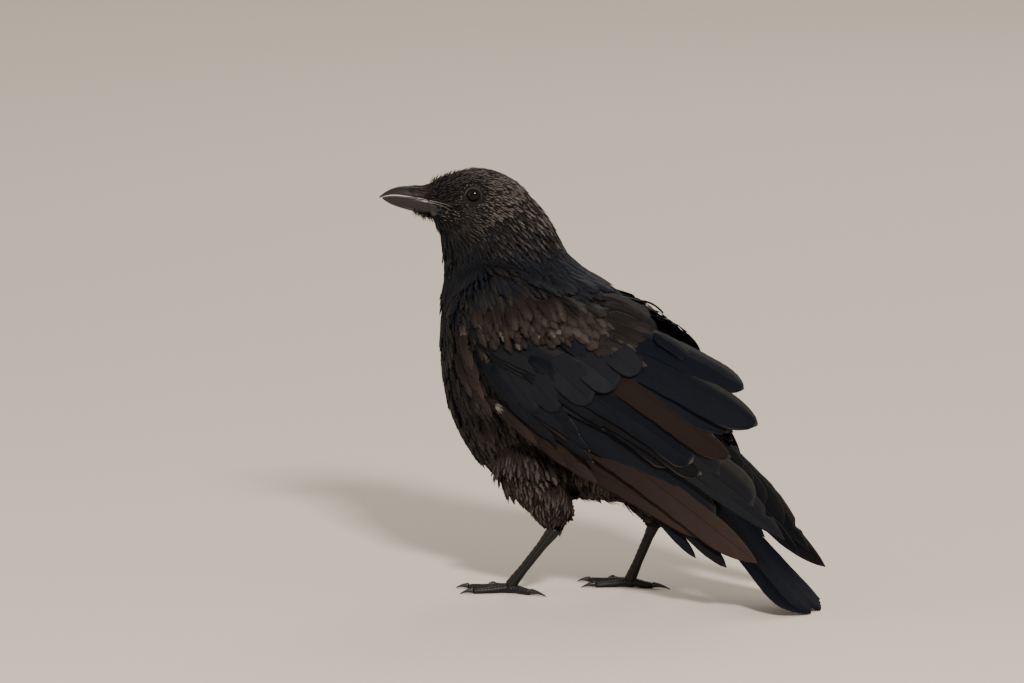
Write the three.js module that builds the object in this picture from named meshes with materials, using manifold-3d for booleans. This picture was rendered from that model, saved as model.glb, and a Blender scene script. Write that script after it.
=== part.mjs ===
// A carrion crow, life size, standing in mid-stride with its head turned to its left.
// Millimetres, +Z up. The body heads along -X, its left side faces -Y, the soles are at Z = 0.
// Every solid is a loft: a row of rings along the limb, feather or body that it makes.
import * as THREE from 'three';
import { mergeVertices } from 'three/addons/utils/BufferGeometryUtils.js';
import Module from 'manifold-3d';

const wasm = await Module();
wasm.setup();

// ---- driving sizes -------------------------------------------------------------------------

const GAP = 0.3; // clear space between neighbouring pieces
const HEAD_TURN = THREE.MathUtils.degToRad(28); // the head looks this far to the bird's left
const NECK_PIVOT_X = -9; // the head turns about the upright line at this X
const LEFT = -1;
const RIGHT = 1;

const BODY_AROUND = 22; // points round a ring of the body
const EYE_RADIUS = 6.9;
const EYE_CENTRE = { x: -33.4, z: 282.3, out: 13.4 };
const EYE_AROUND = 12;
const EYE_ROWS = 8;
const SOCKET_CLEARANCE = 0.35;

const VANE_STATIONS = [0, 0.38, 0.72, 0.93, 1];
const STRAIGHT_STATIONS = [0, 0.91, 1];
const VANE_EDGE = 0.55; // thickness of a flight feather at its edges
const VANE_MIDDLE = 1.15; // and along its shaft
const VANE_CAMBER = 1.6;
const QUILL_SHARE = 0.6; // width at the root as a share of the full width
const QUILL_LENGTH = 1 / 3; // share of the feather over which it widens
const BLUNT_TIP = 0.16; // share of the width that is left at the very tip

const TAIL_FEATHERS = 12;
const TAIL_BASE = { x: 113, z: 115.8 };
const TAIL_DROP = THREE.MathUtils.degToRad(43);
const TAIL_LENGTH = 168;
const TAIL_ROOT = 26; // the feathers leave the rump this far from the base that they fan from
const TAIL_SPREAD = THREE.MathUtils.degToRad(8.6); // from the middle line to the outermost shaft
const TAIL_HALF = 16.5; // half the width of one tail feather
const TAIL_TIP_ROUNDNESS = 0.14;
const TAIL_ROUNDING = 0.045; // how much shorter the outermost feather is, as a share
const TAIL_VAULT = 0.22; // how far the outermost feather's upper side leans outwards

const black = new THREE.Color(0x1b1817);
const blueBlack = new THREE.Color(0x191d24);
const brownBlack = new THREE.Color(0x2b211d);

// ---- small tools ---------------------------------------------------------------------------

function mesh(name, geometry, color, roughness = 0.7, metalness = 0) {
  const piece = new THREE.Mesh(geometry, new THREE.MeshStandardMaterial({ color, roughness, metalness }));
  piece.name = name;
  return piece;
}

// Turns every triangle round if the closed surface encloses a negative volume.
function facingOut(positions, index) {
  const a = new THREE.Vector3();
  const b = new THREE.Vector3();
  const c = new THREE.Vector3();
  let volume = 0;
  for (let i = 0; i < index.length; i += 3) {
    a.fromArray(positions, index[i] * 3);
    b.fromArray(positions, index[i + 1] * 3);
    c.fromArray(positions, index[i + 2] * 3);
    volume += a.dot(b.cross(c));
  }
  if (volume < 0) index.reverse();
  return index;
}

// Joins rings of equally many points into one closed body with a fan of triangles at each end.
function loft(rings) {
  const around = rings[0].length;
  const points = rings.flat();
  const index = [];
  for (let r = 0; r + 1 < rings.length; r += 1) {
    for (let i = 0; i < around; i += 1) {
      const a = r * around + i;
      const b = r * around + ((i + 1) % around);
      index.push(a, b, a + around, b, b + around, a + around);
    }
  }
  [0, rings.length - 1].forEach((r) => {
    const middle = new THREE.Vector3();
    rings[r].forEach((p) => middle.addScaledVector(p, 1 / around));
    points.push(middle);
    for (let i = 0; i < around; i += 1) {
      const a = r * around + i;
      const b = r * around + ((i + 1) % around);
      if (r === 0) index.push(b, a, points.length - 1);
      else index.push(a, b, points.length - 1);
    }
  });
  const positions = points.flatMap((p) => p.toArray());
  const geometry = new THREE.BufferGeometry();
  geometry.setAttribute('position', new THREE.Float32BufferAttribute(positions, 3));
  geometry.setIndex(facingOut(positions, index));
  return geometry;
}

function solidOf(geometry) {
  const bare = geometry.clone();
  bare.deleteAttribute('normal');
  bare.deleteAttribute('uv');
  const merged = mergeVertices(bare, 1e-3);
  const vertProperties = new Float32Array(merged.attributes.position.array);
  const triVerts = new Uint32Array(merged.index.array);
  return new wasm.Manifold(new wasm.Mesh({ numProp: 3, vertProperties, triVerts }));
}

function geometryOf(solid) {
  const { vertProperties, triVerts } = solid.getMesh();
  const geometry = new THREE.BufferGeometry();
  geometry.setAttribute('position', new THREE.Float32BufferAttribute(vertProperties, 3));
  geometry.setIndex(Array.from(triVerts));
  return geometry;
}

// One body from several that overlap.
function joined(geometries) {
  return geometries.map(solidOf).reduce((whole, next) => whole.add(next));
}

// What stays of a solid once the slivers that a cut left loose are dropped.
function largest(solid) {
  return solid.decompose().reduce((best, next) => (next.volume() > best.volume() ? next : best));
}

// Reads a smooth curve through rows of numbers at a fractional row number.
function smoothRow(rows, at) {
  const row = THREE.MathUtils.clamp(at, 0, rows.length - 1);
  const i = Math.min(Math.floor(row), rows.length - 2);
  const t = row - i;
  const before = rows[Math.max(i - 1, 0)];
  const after = rows[Math.min(i + 2, rows.length - 1)];
  return rows[i].map((start, k) => {
    const end = rows[i + 1][k];
    const leaving = (end - before[k]) / 2;
    const arriving = (after[k] - start) / 2;
    const cubic = 2 * (start - end) + leaving + arriving;
    const square = 3 * (end - start) - 2 * leaving - arriving;
    return ((cubic * t + square) * t + leaving) * t + start;
  });
}

// ---- head, neck and trunk ------------------------------------------------------------------

// A rib is a ring that stands on its dorsal and ventral points in the profile plane:
// dorsal x, z, ventral x, z, half width, squareness and how far it is turned with the head (0 to 1).
const RIBS = [
  [-68, 287.6, -68, 266.5, 8.6, 2.0, 1], // forehead and chin feathers round the bill
  [-60, 290.8, -64, 262.0, 12.8, 2.0, 1],
  [-50, 295.2, -61, 256.5, 16.6, 2.0, 1],
  [-38, 299.2, -58.5, 250.5, 19.6, 2.0, 1], // eyes
  [-23, 299.9, -57.2, 244.0, 21.8, 2.0, 1], // crown
  [-6, 292.8, -56.6, 237.5, 24.0, 2.0, 1],
  [9.6, 278.8, -56.2, 230.5, 27.0, 2.0, 0.9], // nape
  [22.4, 261.6, -56.0, 222.5, 31.5, 2.0, 0.7],
  [32, 243.0, -58.0, 212.0, 37.5, 2.0, 0.4],
  [48, 231.5, -60.5, 195.0, 43.0, 2.0, 0.15], // shoulders
  [68, 221.5, -61.5, 171.0, 45.5, 2.1, 0],
  [86, 207.5, -59.5, 143.0, 45.5, 2.1, 0], // breast
  [101, 190.0, -50.5, 114.5, 44.5, 2.1, 0],
  [111, 171.0, -33.0, 90.0, 43.0, 2.1, 0], // belly
  [120, 154.0, 4.0, 71.0, 39.5, 2.1, 0],
  [129, 139.0, 50.0, 66.0, 34.0, 2.1, 0],
  [137, 126.0, 92.0, 66.5, 27.0, 2.0, 0], // vent
  [145, 113.0, 124.0, 76.5, 19.5, 2.0, 0],
  [155, 97.5, 142.0, 77.5, 14.5, 2.0, 0], // tail coverts
];
const HEAD_RIBS = [0, 6];
const NECK_RIBS = [6, 9];
const TRUNK_RIBS = [9, 18];
const CUT = 0.022; // in rib numbers, half the thin cut between head, neck and trunk
const RINGS_PER_RIB = 2;

// A point of the profile plane, moved out sideways and turned with the head.
function turned(x, z, out, turn) {
  const angle = HEAD_TURN * turn;
  const along = x - NECK_PIVOT_X;
  return new THREE.Vector3(
    NECK_PIVOT_X + along * Math.cos(angle) - out * Math.sin(angle),
    along * Math.sin(angle) + out * Math.cos(angle),
    z,
  );
}

function bodyRing(at, clearance) {
  const [dx, dz, vx, vz, half, squareness, turn] = smoothRow(RIBS, at);
  const length = Math.hypot(dx - vx, dz - vz);
  const grow = (length / 2 + clearance) / (length / 2);
  const ring = [];
  for (let i = 0; i < BODY_AROUND; i += 1) {
    const angle = (2 * Math.PI * i) / BODY_AROUND;
    const c = Math.cos(angle);
    const s = Math.sin(angle);
    const up = Math.sign(c) * Math.abs(c) ** (2 / squareness) * grow;
    const out = Math.sign(s) * Math.abs(s) ** (2 / squareness) * (half + clearance);
    const x = (dx + vx) / 2 + ((dx - vx) / 2) * up;
    const z = (dz + vz) / 2 + ((dz - vz) / 2) * up;
    ring.push(turned(x, z, out, turn));
  }
  return ring;
}

function bodyLength([from, to], clearance = 0) {
  const rings = [];
  const steps = Math.round((to - from) * RINGS_PER_RIB);
  const first = from === 0 ? from : from + CUT;
  const last = to === RIBS.length - 1 ? to : to - CUT;
  for (let i = 0; i <= steps; i += 1) {
    rings.push(bodyRing(THREE.MathUtils.lerp(first, last, i / steps), clearance));
  }
  return loft(rings);
}

// ---- bill and eyes -------------------------------------------------------------------------

// Along the bill: X, top Z, bottom Z and half width, in the head's own profile.
const UPPER_BILL = [
  [-60, 284.6, 274.9, 7.6],
  [-69, 286.0, 277.7, 7.7],
  [-78, 286.6, 279.3, 6.7],
  [-86, 286.2, 279.9, 5.4],
  [-92, 284.6, 280.0, 4.1],
  [-97, 282.0, 279.2, 2.6],
  [-100.6, 279.2, 277.9, 1.0],
];
const LOWER_BILL = [
  [-60, 274.5, 266.2, 6.9],
  [-69, 277.3, 266.6, 6.6],
  [-78, 278.9, 268.7, 5.6],
  [-86, 279.5, 271.0, 4.3],
  [-92, 279.6, 273.2, 3.0],
  [-96.4, 278.7, 275.6, 1.4],
];
const BILL_AROUND = 10;
const BILL_ROUND = 1;
const BILL_FLAT = 0.45; // exponent that squares the face where the two halves meet
const RINGS_PER_BILL_ROW = 2;

// The two halves of the bill are flat where they meet: only the outer face is round.
function billHalf(rows, roundsUp, clearance = 0) {
  const rings = [];
  const steps = (rows.length - 1) * RINGS_PER_BILL_ROW;
  for (let i = 0; i <= steps; i += 1) {
    const [x, top, bottom, half] = smoothRow(rows, i / RINGS_PER_BILL_ROW);
    const rootShift = i === 0 ? clearance : 0;
    const ring = [];
    for (let k = 0; k < BILL_AROUND; k += 1) {
      const angle = (2 * Math.PI * k) / BILL_AROUND;
      const c = Math.cos(angle);
      const up = Math.sign(c) * Math.abs(c) ** (c > 0 === roundsUp ? BILL_ROUND : BILL_FLAT);
      const z = (top + bottom) / 2 + up * ((top - bottom) / 2 + clearance);
      ring.push(turned(x + rootShift, z, (half + clearance) * Math.sin(angle), 1));
    }
    rings.push(ring);
  }
  return loft(rings);
}

function eyeball(side, clearance = 0) {
  const ball = new THREE.SphereGeometry(EYE_RADIUS + clearance, EYE_AROUND, EYE_ROWS);
  const centre = turned(EYE_CENTRE.x, EYE_CENTRE.z, side * EYE_CENTRE.out, 1);
  ball.translate(centre.x, centre.y, centre.z);
  return ball;
}

// ---- flight feathers -----------------------------------------------------------------------

// Half width along a flight feather: narrow at the quill, rounded at the tip.
function vaneWidth(u, tipRoundness) {
  const base = THREE.MathUtils.lerp(QUILL_SHARE, 1, Math.min(1, u / QUILL_LENGTH));
  const start = 1 - tipRoundness;
  const over = Math.max(0, (u - start) / tipRoundness);
  return base * Math.max(BLUNT_TIP, Math.sqrt(Math.max(0, 1 - over * over)));
}

// A flat feather from root to tip. facing is the way its upper side looks, bow lifts its middle
// that way, arch moves its middle sideways, towards its trailing edge, and extra thickens it.
function vane({ root, tip, facing, half, bow = 0, arch = 0, extra = 0, ...ends }) {
  const { roundness = 0.2, stations = VANE_STATIONS } = ends;
  const chord = tip.clone().sub(root);
  const lift = facing.clone().addScaledVector(chord, -facing.dot(chord) / chord.lengthSq()).normalize();
  const side = chord.clone().cross(lift).normalize();
  if (side.z < 0) side.negate();
  const rings = stations.map((u) => {
    const middle = 4 * u * (1 - u);
    const slope = (4 * (1 - 2 * u)) / chord.length();
    const centre = root.clone().addScaledVector(chord, u).addScaledVector(lift, bow * middle);
    centre.addScaledVector(side, arch * middle);
    const tangent = chord.clone().normalize();
    tangent.addScaledVector(lift, bow * slope).addScaledVector(side, arch * slope);
    const across = tangent.cross(lift).normalize();
    const w = half * vaneWidth(u, roundness);
    const drop = (VANE_CAMBER * w) / half;
    const point = (out, down) => centre.clone().addScaledVector(across, out).addScaledVector(lift, -down);
    return [
      point(-w, drop),
      point(0, 0),
      point(w, drop),
      point(w, drop + VANE_EDGE + extra),
      point(0, VANE_MIDDLE + extra),
      point(-w, drop + VANE_EDGE + extra),
    ];
  });
  return loft(rings);
}

// Each wing: where its bend and the end of its hand lie, and each feather's length and drop in
// degrees below level. Primaries run from the third, near the bend, to the tenth, at the edge.
const WINGS = {
  left: {
    side: LEFT,
    bend: [-13, 191],
    handTip: [35, 152],
    primaryLength: [203, 206, 210, 221, 243, 230, 203, 172],
    primaryDrop: [24.6, 24.4, 25.2, 25.3, 27, 32.6, 37.5, 41],
    tertials: [
      { root: [34, 203, 49], tip: [188, 113, 40], half: 14, roll: 22 },
      { root: [46, 202, 43], tip: [204, 132.5, 31], half: 16.5, roll: 36 },
      { root: [55, 207, 34.5], tip: [187, 157.5, 21], half: 15, roll: 52 },
      { root: [63, 212, 27], tip: [140, 177.5, 13], half: 12, roll: 66 },
    ],
  },
  right: {
    side: RIGHT,
    bend: [-9, 191],
    handTip: [39, 152],
    primaryLength: [196, 200, 206, 217, 234, 239, 210, 174],
    primaryDrop: [30.6, 31.7, 32.7, 33.4, 33.9, 34, 35.8, 38.2],
    tertials: [
      { root: [34, 203, 49.5], tip: [154, 113, 44.5], half: 13, roll: 18 },
      { root: [46, 202, 43], tip: [160, 122, 34], half: 16, roll: 36 },
      { root: [55, 207, 34.5], tip: [148, 146, 23], half: 15, roll: 52 },
      { root: [63, 212, 27], tip: [126, 174, 14], half: 12, roll: 66 },
    ],
  },
};

const PRIMARY_HALF = [12, 12, 12, 12, 11.5, 11, 10, 8];
const PRIMARY_ROOT_OUT = 50; // the root of the first primary here, out from the middle plane
const PRIMARY_TIP_OUT = 43;
// The plate under each row: its half width, extra thickness and where it meets the row's ends.
const PRIMARY_WEB = { half: 12, extra: 2.2, reach: { first: 0.47, last: 0.42 } };
const TERTIAL_WEB = { half: 9, extra: 3.5, reach: { first: 0.42, last: 0.5 } };
const WEB_ROUNDNESS = 0.1;
const LAYER = 0.55; // each feather lies this much further in than the one before it
const PRIMARY_ROLL = 12;
const PRIMARY_BOW = 3;
const PRIMARY_ARCH = 9;
const TERTIAL_BOW = 6;
const TERTIAL_ARCH = 2.5;

function facingOf(side, rollDegrees) {
  const roll = THREE.MathUtils.degToRad(rollDegrees);
  return new THREE.Vector3(0, side * Math.cos(roll), Math.sin(roll));
}

// Where each primary of a wing runs.
function primaryPaths(wing) {
  const last = wing.primaryLength.length - 1;
  return wing.primaryLength.map((length, i) => {
    const x = THREE.MathUtils.lerp(wing.bend[0], wing.handTip[0], i / last);
    const z = THREE.MathUtils.lerp(wing.bend[1], wing.handTip[1], i / last);
    const drop = THREE.MathUtils.degToRad(wing.primaryDrop[i]);
    return {
      root: new THREE.Vector3(x, wing.side * (PRIMARY_ROOT_OUT - LAYER * i), z),
      tip: new THREE.Vector3(
        x + length * Math.cos(drop),
        wing.side * (PRIMARY_TIP_OUT - LAYER * i),
        z - length * Math.sin(drop),
      ),
      facing: facingOf(wing.side, PRIMARY_ROLL),
      half: PRIMARY_HALF[i],
      bow: PRIMARY_BOW,
      arch: PRIMARY_ARCH,
    };
  });
}

function tertialPaths(wing) {
  return wing.tertials.map(({ root, tip, half, roll }) => ({
    root: new THREE.Vector3(root[0], wing.side * root[2], root[1]),
    tip: new THREE.Vector3(tip[0], wing.side * tip[2], tip[1]),
    facing: facingOf(wing.side, roll),
    half,
    bow: TERTIAL_BOW,
    arch: TERTIAL_ARCH,
  }));
}

// The coverts under a row of feathers, behind the arm: a plate across them that holds them together.
function web(paths, { reach, half, extra }) {
  const first = paths[0];
  const last = paths[paths.length - 1];
  const at = ({ root, tip, bow }, u) => {
    const place = root.clone().lerp(tip, u);
    return place.addScaledVector(first.facing, bow * 4 * u * (1 - u));
  };
  const facing = first.facing.clone().add(last.facing);
  const ends = { root: at(last, reach.last), tip: at(first, reach.first) };
  return vane({ ...ends, facing, half, extra, roundness: WEB_ROUNDNESS });
}

function feathersWithWeb(paths, size) {
  return joined([...paths.map(vane), web(paths, size)]);
}

// ---- folded arm under its coverts ----------------------------------------------------------

// The arm lies along an axis that drops towards the tail. Rows: place along the axis, lower and
// upper edge across it, greatest distance out from the middle plane.
const ARM_ORIGIN = { x: 0, z: 180 };
const ARM_DROP = THREE.MathUtils.degToRad(35);
const ARM_ROWS = [
  [-50, 2, 26, 38],
  [-43, -7, 40, 46],
  [-25, -14, 51, 52],
  [0, -20, 57, 56.5],
  [35, -26, 61, 59.5],
  [65, -25, 63, 60],
  [86, -19, 62, 59],
  [96, -8, 57, 57.5],
  [101, 8, 48, 56],
];
const ARM_ACROSS = 6;
const ARM_DEPTH = 24;
const ARM_RISE = 0.12; // the back's crest climbs this much for each millimetre along the axis
const ARM_CREST = 66;
const ARM_FLANK = 5; // across the arm, where its surface starts to curve in over the back
const ARM_FLANK_RISE = 0.06;
const ARM_SQUARENESS = 2.3;
const ARM_TUCK = 7; // how far the lower edge is rolled in
const ARM_TUCK_SHARE = 0.2; // and over how much of the breadth

// How far out the wing's surface lies, across the arm, from its flank to the crest of the back.
function wingSurface(along, across, widest) {
  const crest = ARM_CREST + ARM_RISE * along;
  const flank = ARM_FLANK + ARM_FLANK_RISE * along;
  const rise = THREE.MathUtils.clamp((across - flank) / (crest - flank), 0, 1);
  return widest * (1 - rise ** ARM_SQUARENESS) ** (1 / ARM_SQUARENESS);
}

function armPoint(along, across, out) {
  const cos = Math.cos(ARM_DROP);
  const sin = Math.sin(ARM_DROP);
  const x = ARM_ORIGIN.x + along * cos + across * sin;
  const z = ARM_ORIGIN.z - along * sin + across * cos;
  return new THREE.Vector3(x, out, z);
}

function arm(side, clearance = 0) {
  const rings = ARM_ROWS.map(([along, low, high, widest], row) => {
    const outer = [];
    const inner = [];
    const end = row === 0 ? -clearance : clearance;
    const shift = row === 0 || row === ARM_ROWS.length - 1 ? end : 0;
    for (let i = 0; i <= ARM_ACROSS; i += 1) {
      const t = i / ARM_ACROSS;
      const across = THREE.MathUtils.lerp(low - clearance, high + clearance, t);
      const tuck = ARM_TUCK * Math.max(0, 1 - t / ARM_TUCK_SHARE) ** 2;
      const out = wingSurface(along, across, widest) - tuck;
      outer.push(armPoint(along + shift, across, side * (out + clearance)));
      inner.unshift(armPoint(along + shift, across, side * (out - ARM_DEPTH)));
    }
    return [...outer, ...inner];
  });
  return loft(rings);
}

// ---- tail ----------------------------------------------------------------------------------

// The feathers fan from one base; the middle pair lies on top and each next one a layer lower.
function tailFeathers() {
  const feathers = [];
  for (let i = 0; i < TAIL_FEATHERS; i += 1) {
    const place = i - (TAIL_FEATHERS - 1) / 2;
    const share = place / ((TAIL_FEATHERS - 1) / 2);
    const angle = TAIL_SPREAD * share;
    const sink = LAYER * Math.abs(place) + (place > 0 ? LAYER / 2 : 0);
    const length = TAIL_LENGTH * (1 - TAIL_ROUNDING * share * share);
    const point = (reach) =>
      new THREE.Vector3(
        TAIL_BASE.x + reach * Math.cos(angle) * Math.cos(TAIL_DROP) - sink * Math.sin(TAIL_DROP),
        reach * Math.sin(angle),
        TAIL_BASE.z - reach * Math.cos(angle) * Math.sin(TAIL_DROP) - sink * Math.cos(TAIL_DROP),
      );
    const facing = new THREE.Vector3(Math.sin(TAIL_DROP), TAIL_VAULT * share, Math.cos(TAIL_DROP));
    const ends = { root: point(TAIL_ROOT), tip: point(length), stations: STRAIGHT_STATIONS };
    feathers.push(vane({ ...ends, facing, half: TAIL_HALF, roundness: TAIL_TIP_ROUNDNESS }));
  }
  return feathers;
}

// ---- legs ----------------------------------------------------------------------------------

const LEGS = {
  left: {
    side: LEFT,
    // feathered shank: height, X, out from the middle plane, half depth and half width
    feathers: [
      [114, 27, 27, 22, 11],
      [96, 28, 33, 31, 17],
      [81, 30.5, 35, 28, 16],
      [66, 41, 35, 21.5, 13.5],
      [55, 43.5, 34.5, 14, 10],
      [49.5, 43.5, 34, 8, 6.5],
    ],
    ankle: [46.5, 34, 50],
    foot: [9, 31],
  },
  right: {
    side: RIGHT,
    feathers: [
      [100, 66, 29, 28, 14],
      [84, 70, 32, 26, 15.5],
      [72, 75, 33, 23, 14.5],
      [60, 83, 32.5, 17, 11],
      [50, 88.5, 32, 9, 7.5],
      [43, 91, 31.5, 5.2, 5],
    ],
    ankle: [93, 32, 51],
    foot: [73, 30],
  },
};
// Bare shank: place from ankle to foot, half depth and half width.
const SHANK_ROWS = [
  [0, 4.6, 4.0],
  [0.12, 4.5, 3.9],
  [0.3, 3.5, 3.0],
  [0.72, 3.3, 2.9],
  [0.9, 3.8, 3.6],
  [1, 4.0, 4.0],
];
const FOOT_HEIGHT = 5.5;
const LIMB_AROUND = 8;
const THIGH_AROUND = 14;
const TOE_TAPER = 0.3;
const TOE_LIFT = 0.84; // height of a toe's middle as a share of its radius, so its sole is flat
const TOE_ARCH = 1.6; // how much higher the toes are where they meet
const CLAW_ROOT = 0.7; // the claw's radius at its root as a share of the toe's
const CLAW_THICKNESS = 0.82;
const CLAW_TIP_RADIUS = 0.3;
const CLAW_TIP_HEIGHT = 0.35;
const CLAW_HUMP = 1.2; // how far the claw rises before it curves down

// Toes by name: heading in degrees from straight ahead, towards the outer side of the bird,
// length to the claw, thickness at the root and the claw's reach.
const TOES = {
  inner: { heading: -34, length: 25, radius: 2.9, claw: 10 },
  middle: { heading: 2, length: 33, radius: 3.1, claw: 10 },
  outer: { heading: 36, length: 27, radius: 2.8, claw: 9 },
  hind: { heading: 174, length: 17, radius: 3.3, claw: 13 },
};
const TOE_STATIONS = [0, 0.25, 0.5, 0.75, 1];
const CLAW_STATIONS = [0, 0.55, 1];

function feathersOfLeg({ side, feathers }) {
  const rings = feathers.map(([z, x, out, deep, wide]) => {
    const ring = [];
    for (let i = 0; i < THIGH_AROUND; i += 1) {
      const angle = (2 * Math.PI * i) / THIGH_AROUND;
      ring.push(new THREE.Vector3(x + deep * Math.cos(angle), side * out + wide * Math.sin(angle), z));
    }
    return ring;
  });
  return loft(rings);
}

function shank({ side, ankle, foot }, clearance = 0) {
  const top = new THREE.Vector3(ankle[0], side * ankle[1], ankle[2]);
  const end = new THREE.Vector3(foot[0], side * foot[1], FOOT_HEIGHT);
  const along = end.clone().sub(top);
  const across = new THREE.Vector3(0, 1, 0);
  const ahead = across.clone().cross(along).normalize();
  top.addScaledVector(along.clone().normalize(), -clearance);
  const rings = SHANK_ROWS.map(([t, deep, wide]) => {
    const ring = [];
    for (let i = 0; i < LIMB_AROUND; i += 1) {
      const angle = (2 * Math.PI * i) / LIMB_AROUND;
      const point = top.clone().addScaledVector(along, t);
      point.addScaledVector(ahead, (deep + clearance) * Math.cos(angle));
      point.addScaledVector(across, (wide + clearance) * Math.sin(angle));
      ring.push(point);
    }
    return ring;
  });
  return loft(rings);
}

function headingOf(side, heading) {
  const angle = THREE.MathUtils.degToRad(heading);
  return new THREE.Vector3(-Math.cos(angle), side * Math.sin(angle), 0);
}

// A ring round a line on the floor, flat underneath where it would sink below the floor.
function floorRing(centre, ahead, radius) {
  const across = new THREE.Vector3(-ahead.y, ahead.x, 0);
  const ring = [];
  for (let i = 0; i < LIMB_AROUND; i += 1) {
    const angle = (2 * Math.PI * (i + 0.5)) / LIMB_AROUND;
    const point = centre.clone().addScaledVector(across, radius * Math.cos(angle));
    point.z = Math.max(0, point.z + radius * Math.sin(angle));
    ring.push(point);
  }
  return ring;
}

function toe({ side, foot }, { heading, length, radius }, clearance = 0) {
  const ahead = headingOf(side, heading);
  const rings = TOE_STATIONS.map((t) => {
    const thick = radius * (1 - TOE_TAPER * t);
    const lift = TOE_LIFT * thick + TOE_ARCH * (1 - t) ** 2;
    const reach = t === 1 ? length + clearance : length * t;
    const centre = new THREE.Vector3(foot[0], side * foot[1], lift).addScaledVector(ahead, reach);
    return floorRing(centre, ahead, thick + clearance);
  });
  return loft(rings);
}

function claw({ side, foot }, { heading, length, radius, claw: reach }) {
  const ahead = headingOf(side, heading);
  const start = radius * CLAW_ROOT;
  const rings = CLAW_STATIONS.map((t) => {
    const height = CLAW_TIP_HEIGHT + start * (1 - t * t) + CLAW_HUMP * t * (1 - t);
    const centre = new THREE.Vector3(foot[0], side * foot[1], height);
    centre.addScaledVector(ahead, length + GAP + reach * t);
    return floorRing(centre, ahead, CLAW_TIP_RADIUS + start * CLAW_THICKNESS * (1 - t));
  });
  return loft(rings);
}

// ---- assembly ------------------------------------------------------------------------------

const crow = new THREE.Group();
const trunk = solidOf(bodyLength(TRUNK_RIBS));
// The space that the neck and the trunk take up, with a gap all round.
const bodyRoom = solidOf(bodyLength([NECK_RIBS[0], TRUNK_RIBS[1]], GAP));

function addHead() {
  let head = solidOf(bodyLength(HEAD_RIBS));
  head = head.subtract(solidOf(billHalf(UPPER_BILL, true, GAP)));
  head = head.subtract(solidOf(billHalf(LOWER_BILL, false, GAP)));
  [LEFT, RIGHT].forEach((side) => {
    head = head.subtract(solidOf(eyeball(side, SOCKET_CLEARANCE)));
  });
  crow.add(mesh('head', geometryOf(head), black));
  crow.add(mesh('bill_upper', billHalf(UPPER_BILL, true), black, 0.35));
  crow.add(mesh('bill_lower', billHalf(LOWER_BILL, false), black, 0.35));
  crow.add(mesh('eye_left', eyeball(LEFT), black, 0.1));
  crow.add(mesh('eye_right', eyeball(RIGHT), black, 0.1));
}

function addBody() {
  crow.add(mesh('neck', bodyLength(NECK_RIBS), black));
  crow.add(mesh('trunk', geometryOf(trunk), black));
  crow.add(mesh('tail', geometryOf(joined(tailFeathers()).subtract(bodyRoom)), blueBlack));
}

function addWing(name, wing) {
  const armRoom = solidOf(arm(wing.side, GAP));
  const clearOfBody = (solid, room) => geometryOf(largest(solid.subtract(bodyRoom).subtract(room)));
  const armPad = largest(solidOf(arm(wing.side)).subtract(bodyRoom));
  const primaries = clearOfBody(feathersWithWeb(primaryPaths(wing), PRIMARY_WEB), armRoom);
  const tertials = clearOfBody(feathersWithWeb(tertialPaths(wing), TERTIAL_WEB), armRoom);
  crow.add(mesh(`wing_${name}_arm`, geometryOf(armPad), blueBlack));
  crow.add(mesh(`wing_${name}_primaries`, primaries, brownBlack));
  crow.add(mesh(`wing_${name}_tertials`, tertials, blueBlack));
}

function addLeg(name, leg) {
  const toes = Object.values(TOES);
  const footRoom = joined(toes.map((each) => toe(leg, each, GAP)));
  const shankRoom = solidOf(shank(leg, GAP));
  const feathered = solidOf(feathersOfLeg(leg)).subtract(bodyRoom).subtract(shankRoom);
  crow.add(mesh(`thigh_${name}`, geometryOf(feathered), black));
  crow.add(mesh(`shank_${name}`, geometryOf(solidOf(shank(leg)).subtract(footRoom)), black, 0.5));
  crow.add(mesh(`foot_${name}`, geometryOf(joined(toes.map((each) => toe(leg, each)))), black, 0.5));
  Object.entries(TOES).forEach(([toeName, each]) => {
    crow.add(mesh(`claw_${name}_${toeName}`, claw(leg, each), black, 0.3));
  });
}

addHead();
addBody();
addWing('left', WINGS.left);
addWing('right', WINGS.right);
addLeg('left', LEGS.left);
addLeg('right', LEGS.right);

// The origin is on the floor, under the middle of the whole bird.
const box = new THREE.Box3().setFromObject(crow);
const middle = box.getCenter(new THREE.Vector3());
crow.position.set(-middle.x, -middle.y, -box.min.z);

export default crow;
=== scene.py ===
"""A carrion crow in mid-stride: its skin, plumage, bill, eyes and legs, dressed round the frame's solids."""
import math
import random

import bmesh
import bpy
import numpy as np
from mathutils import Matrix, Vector
from mathutils.bvhtree import BVHTree
from mathutils.kdtree import KDTree


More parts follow.
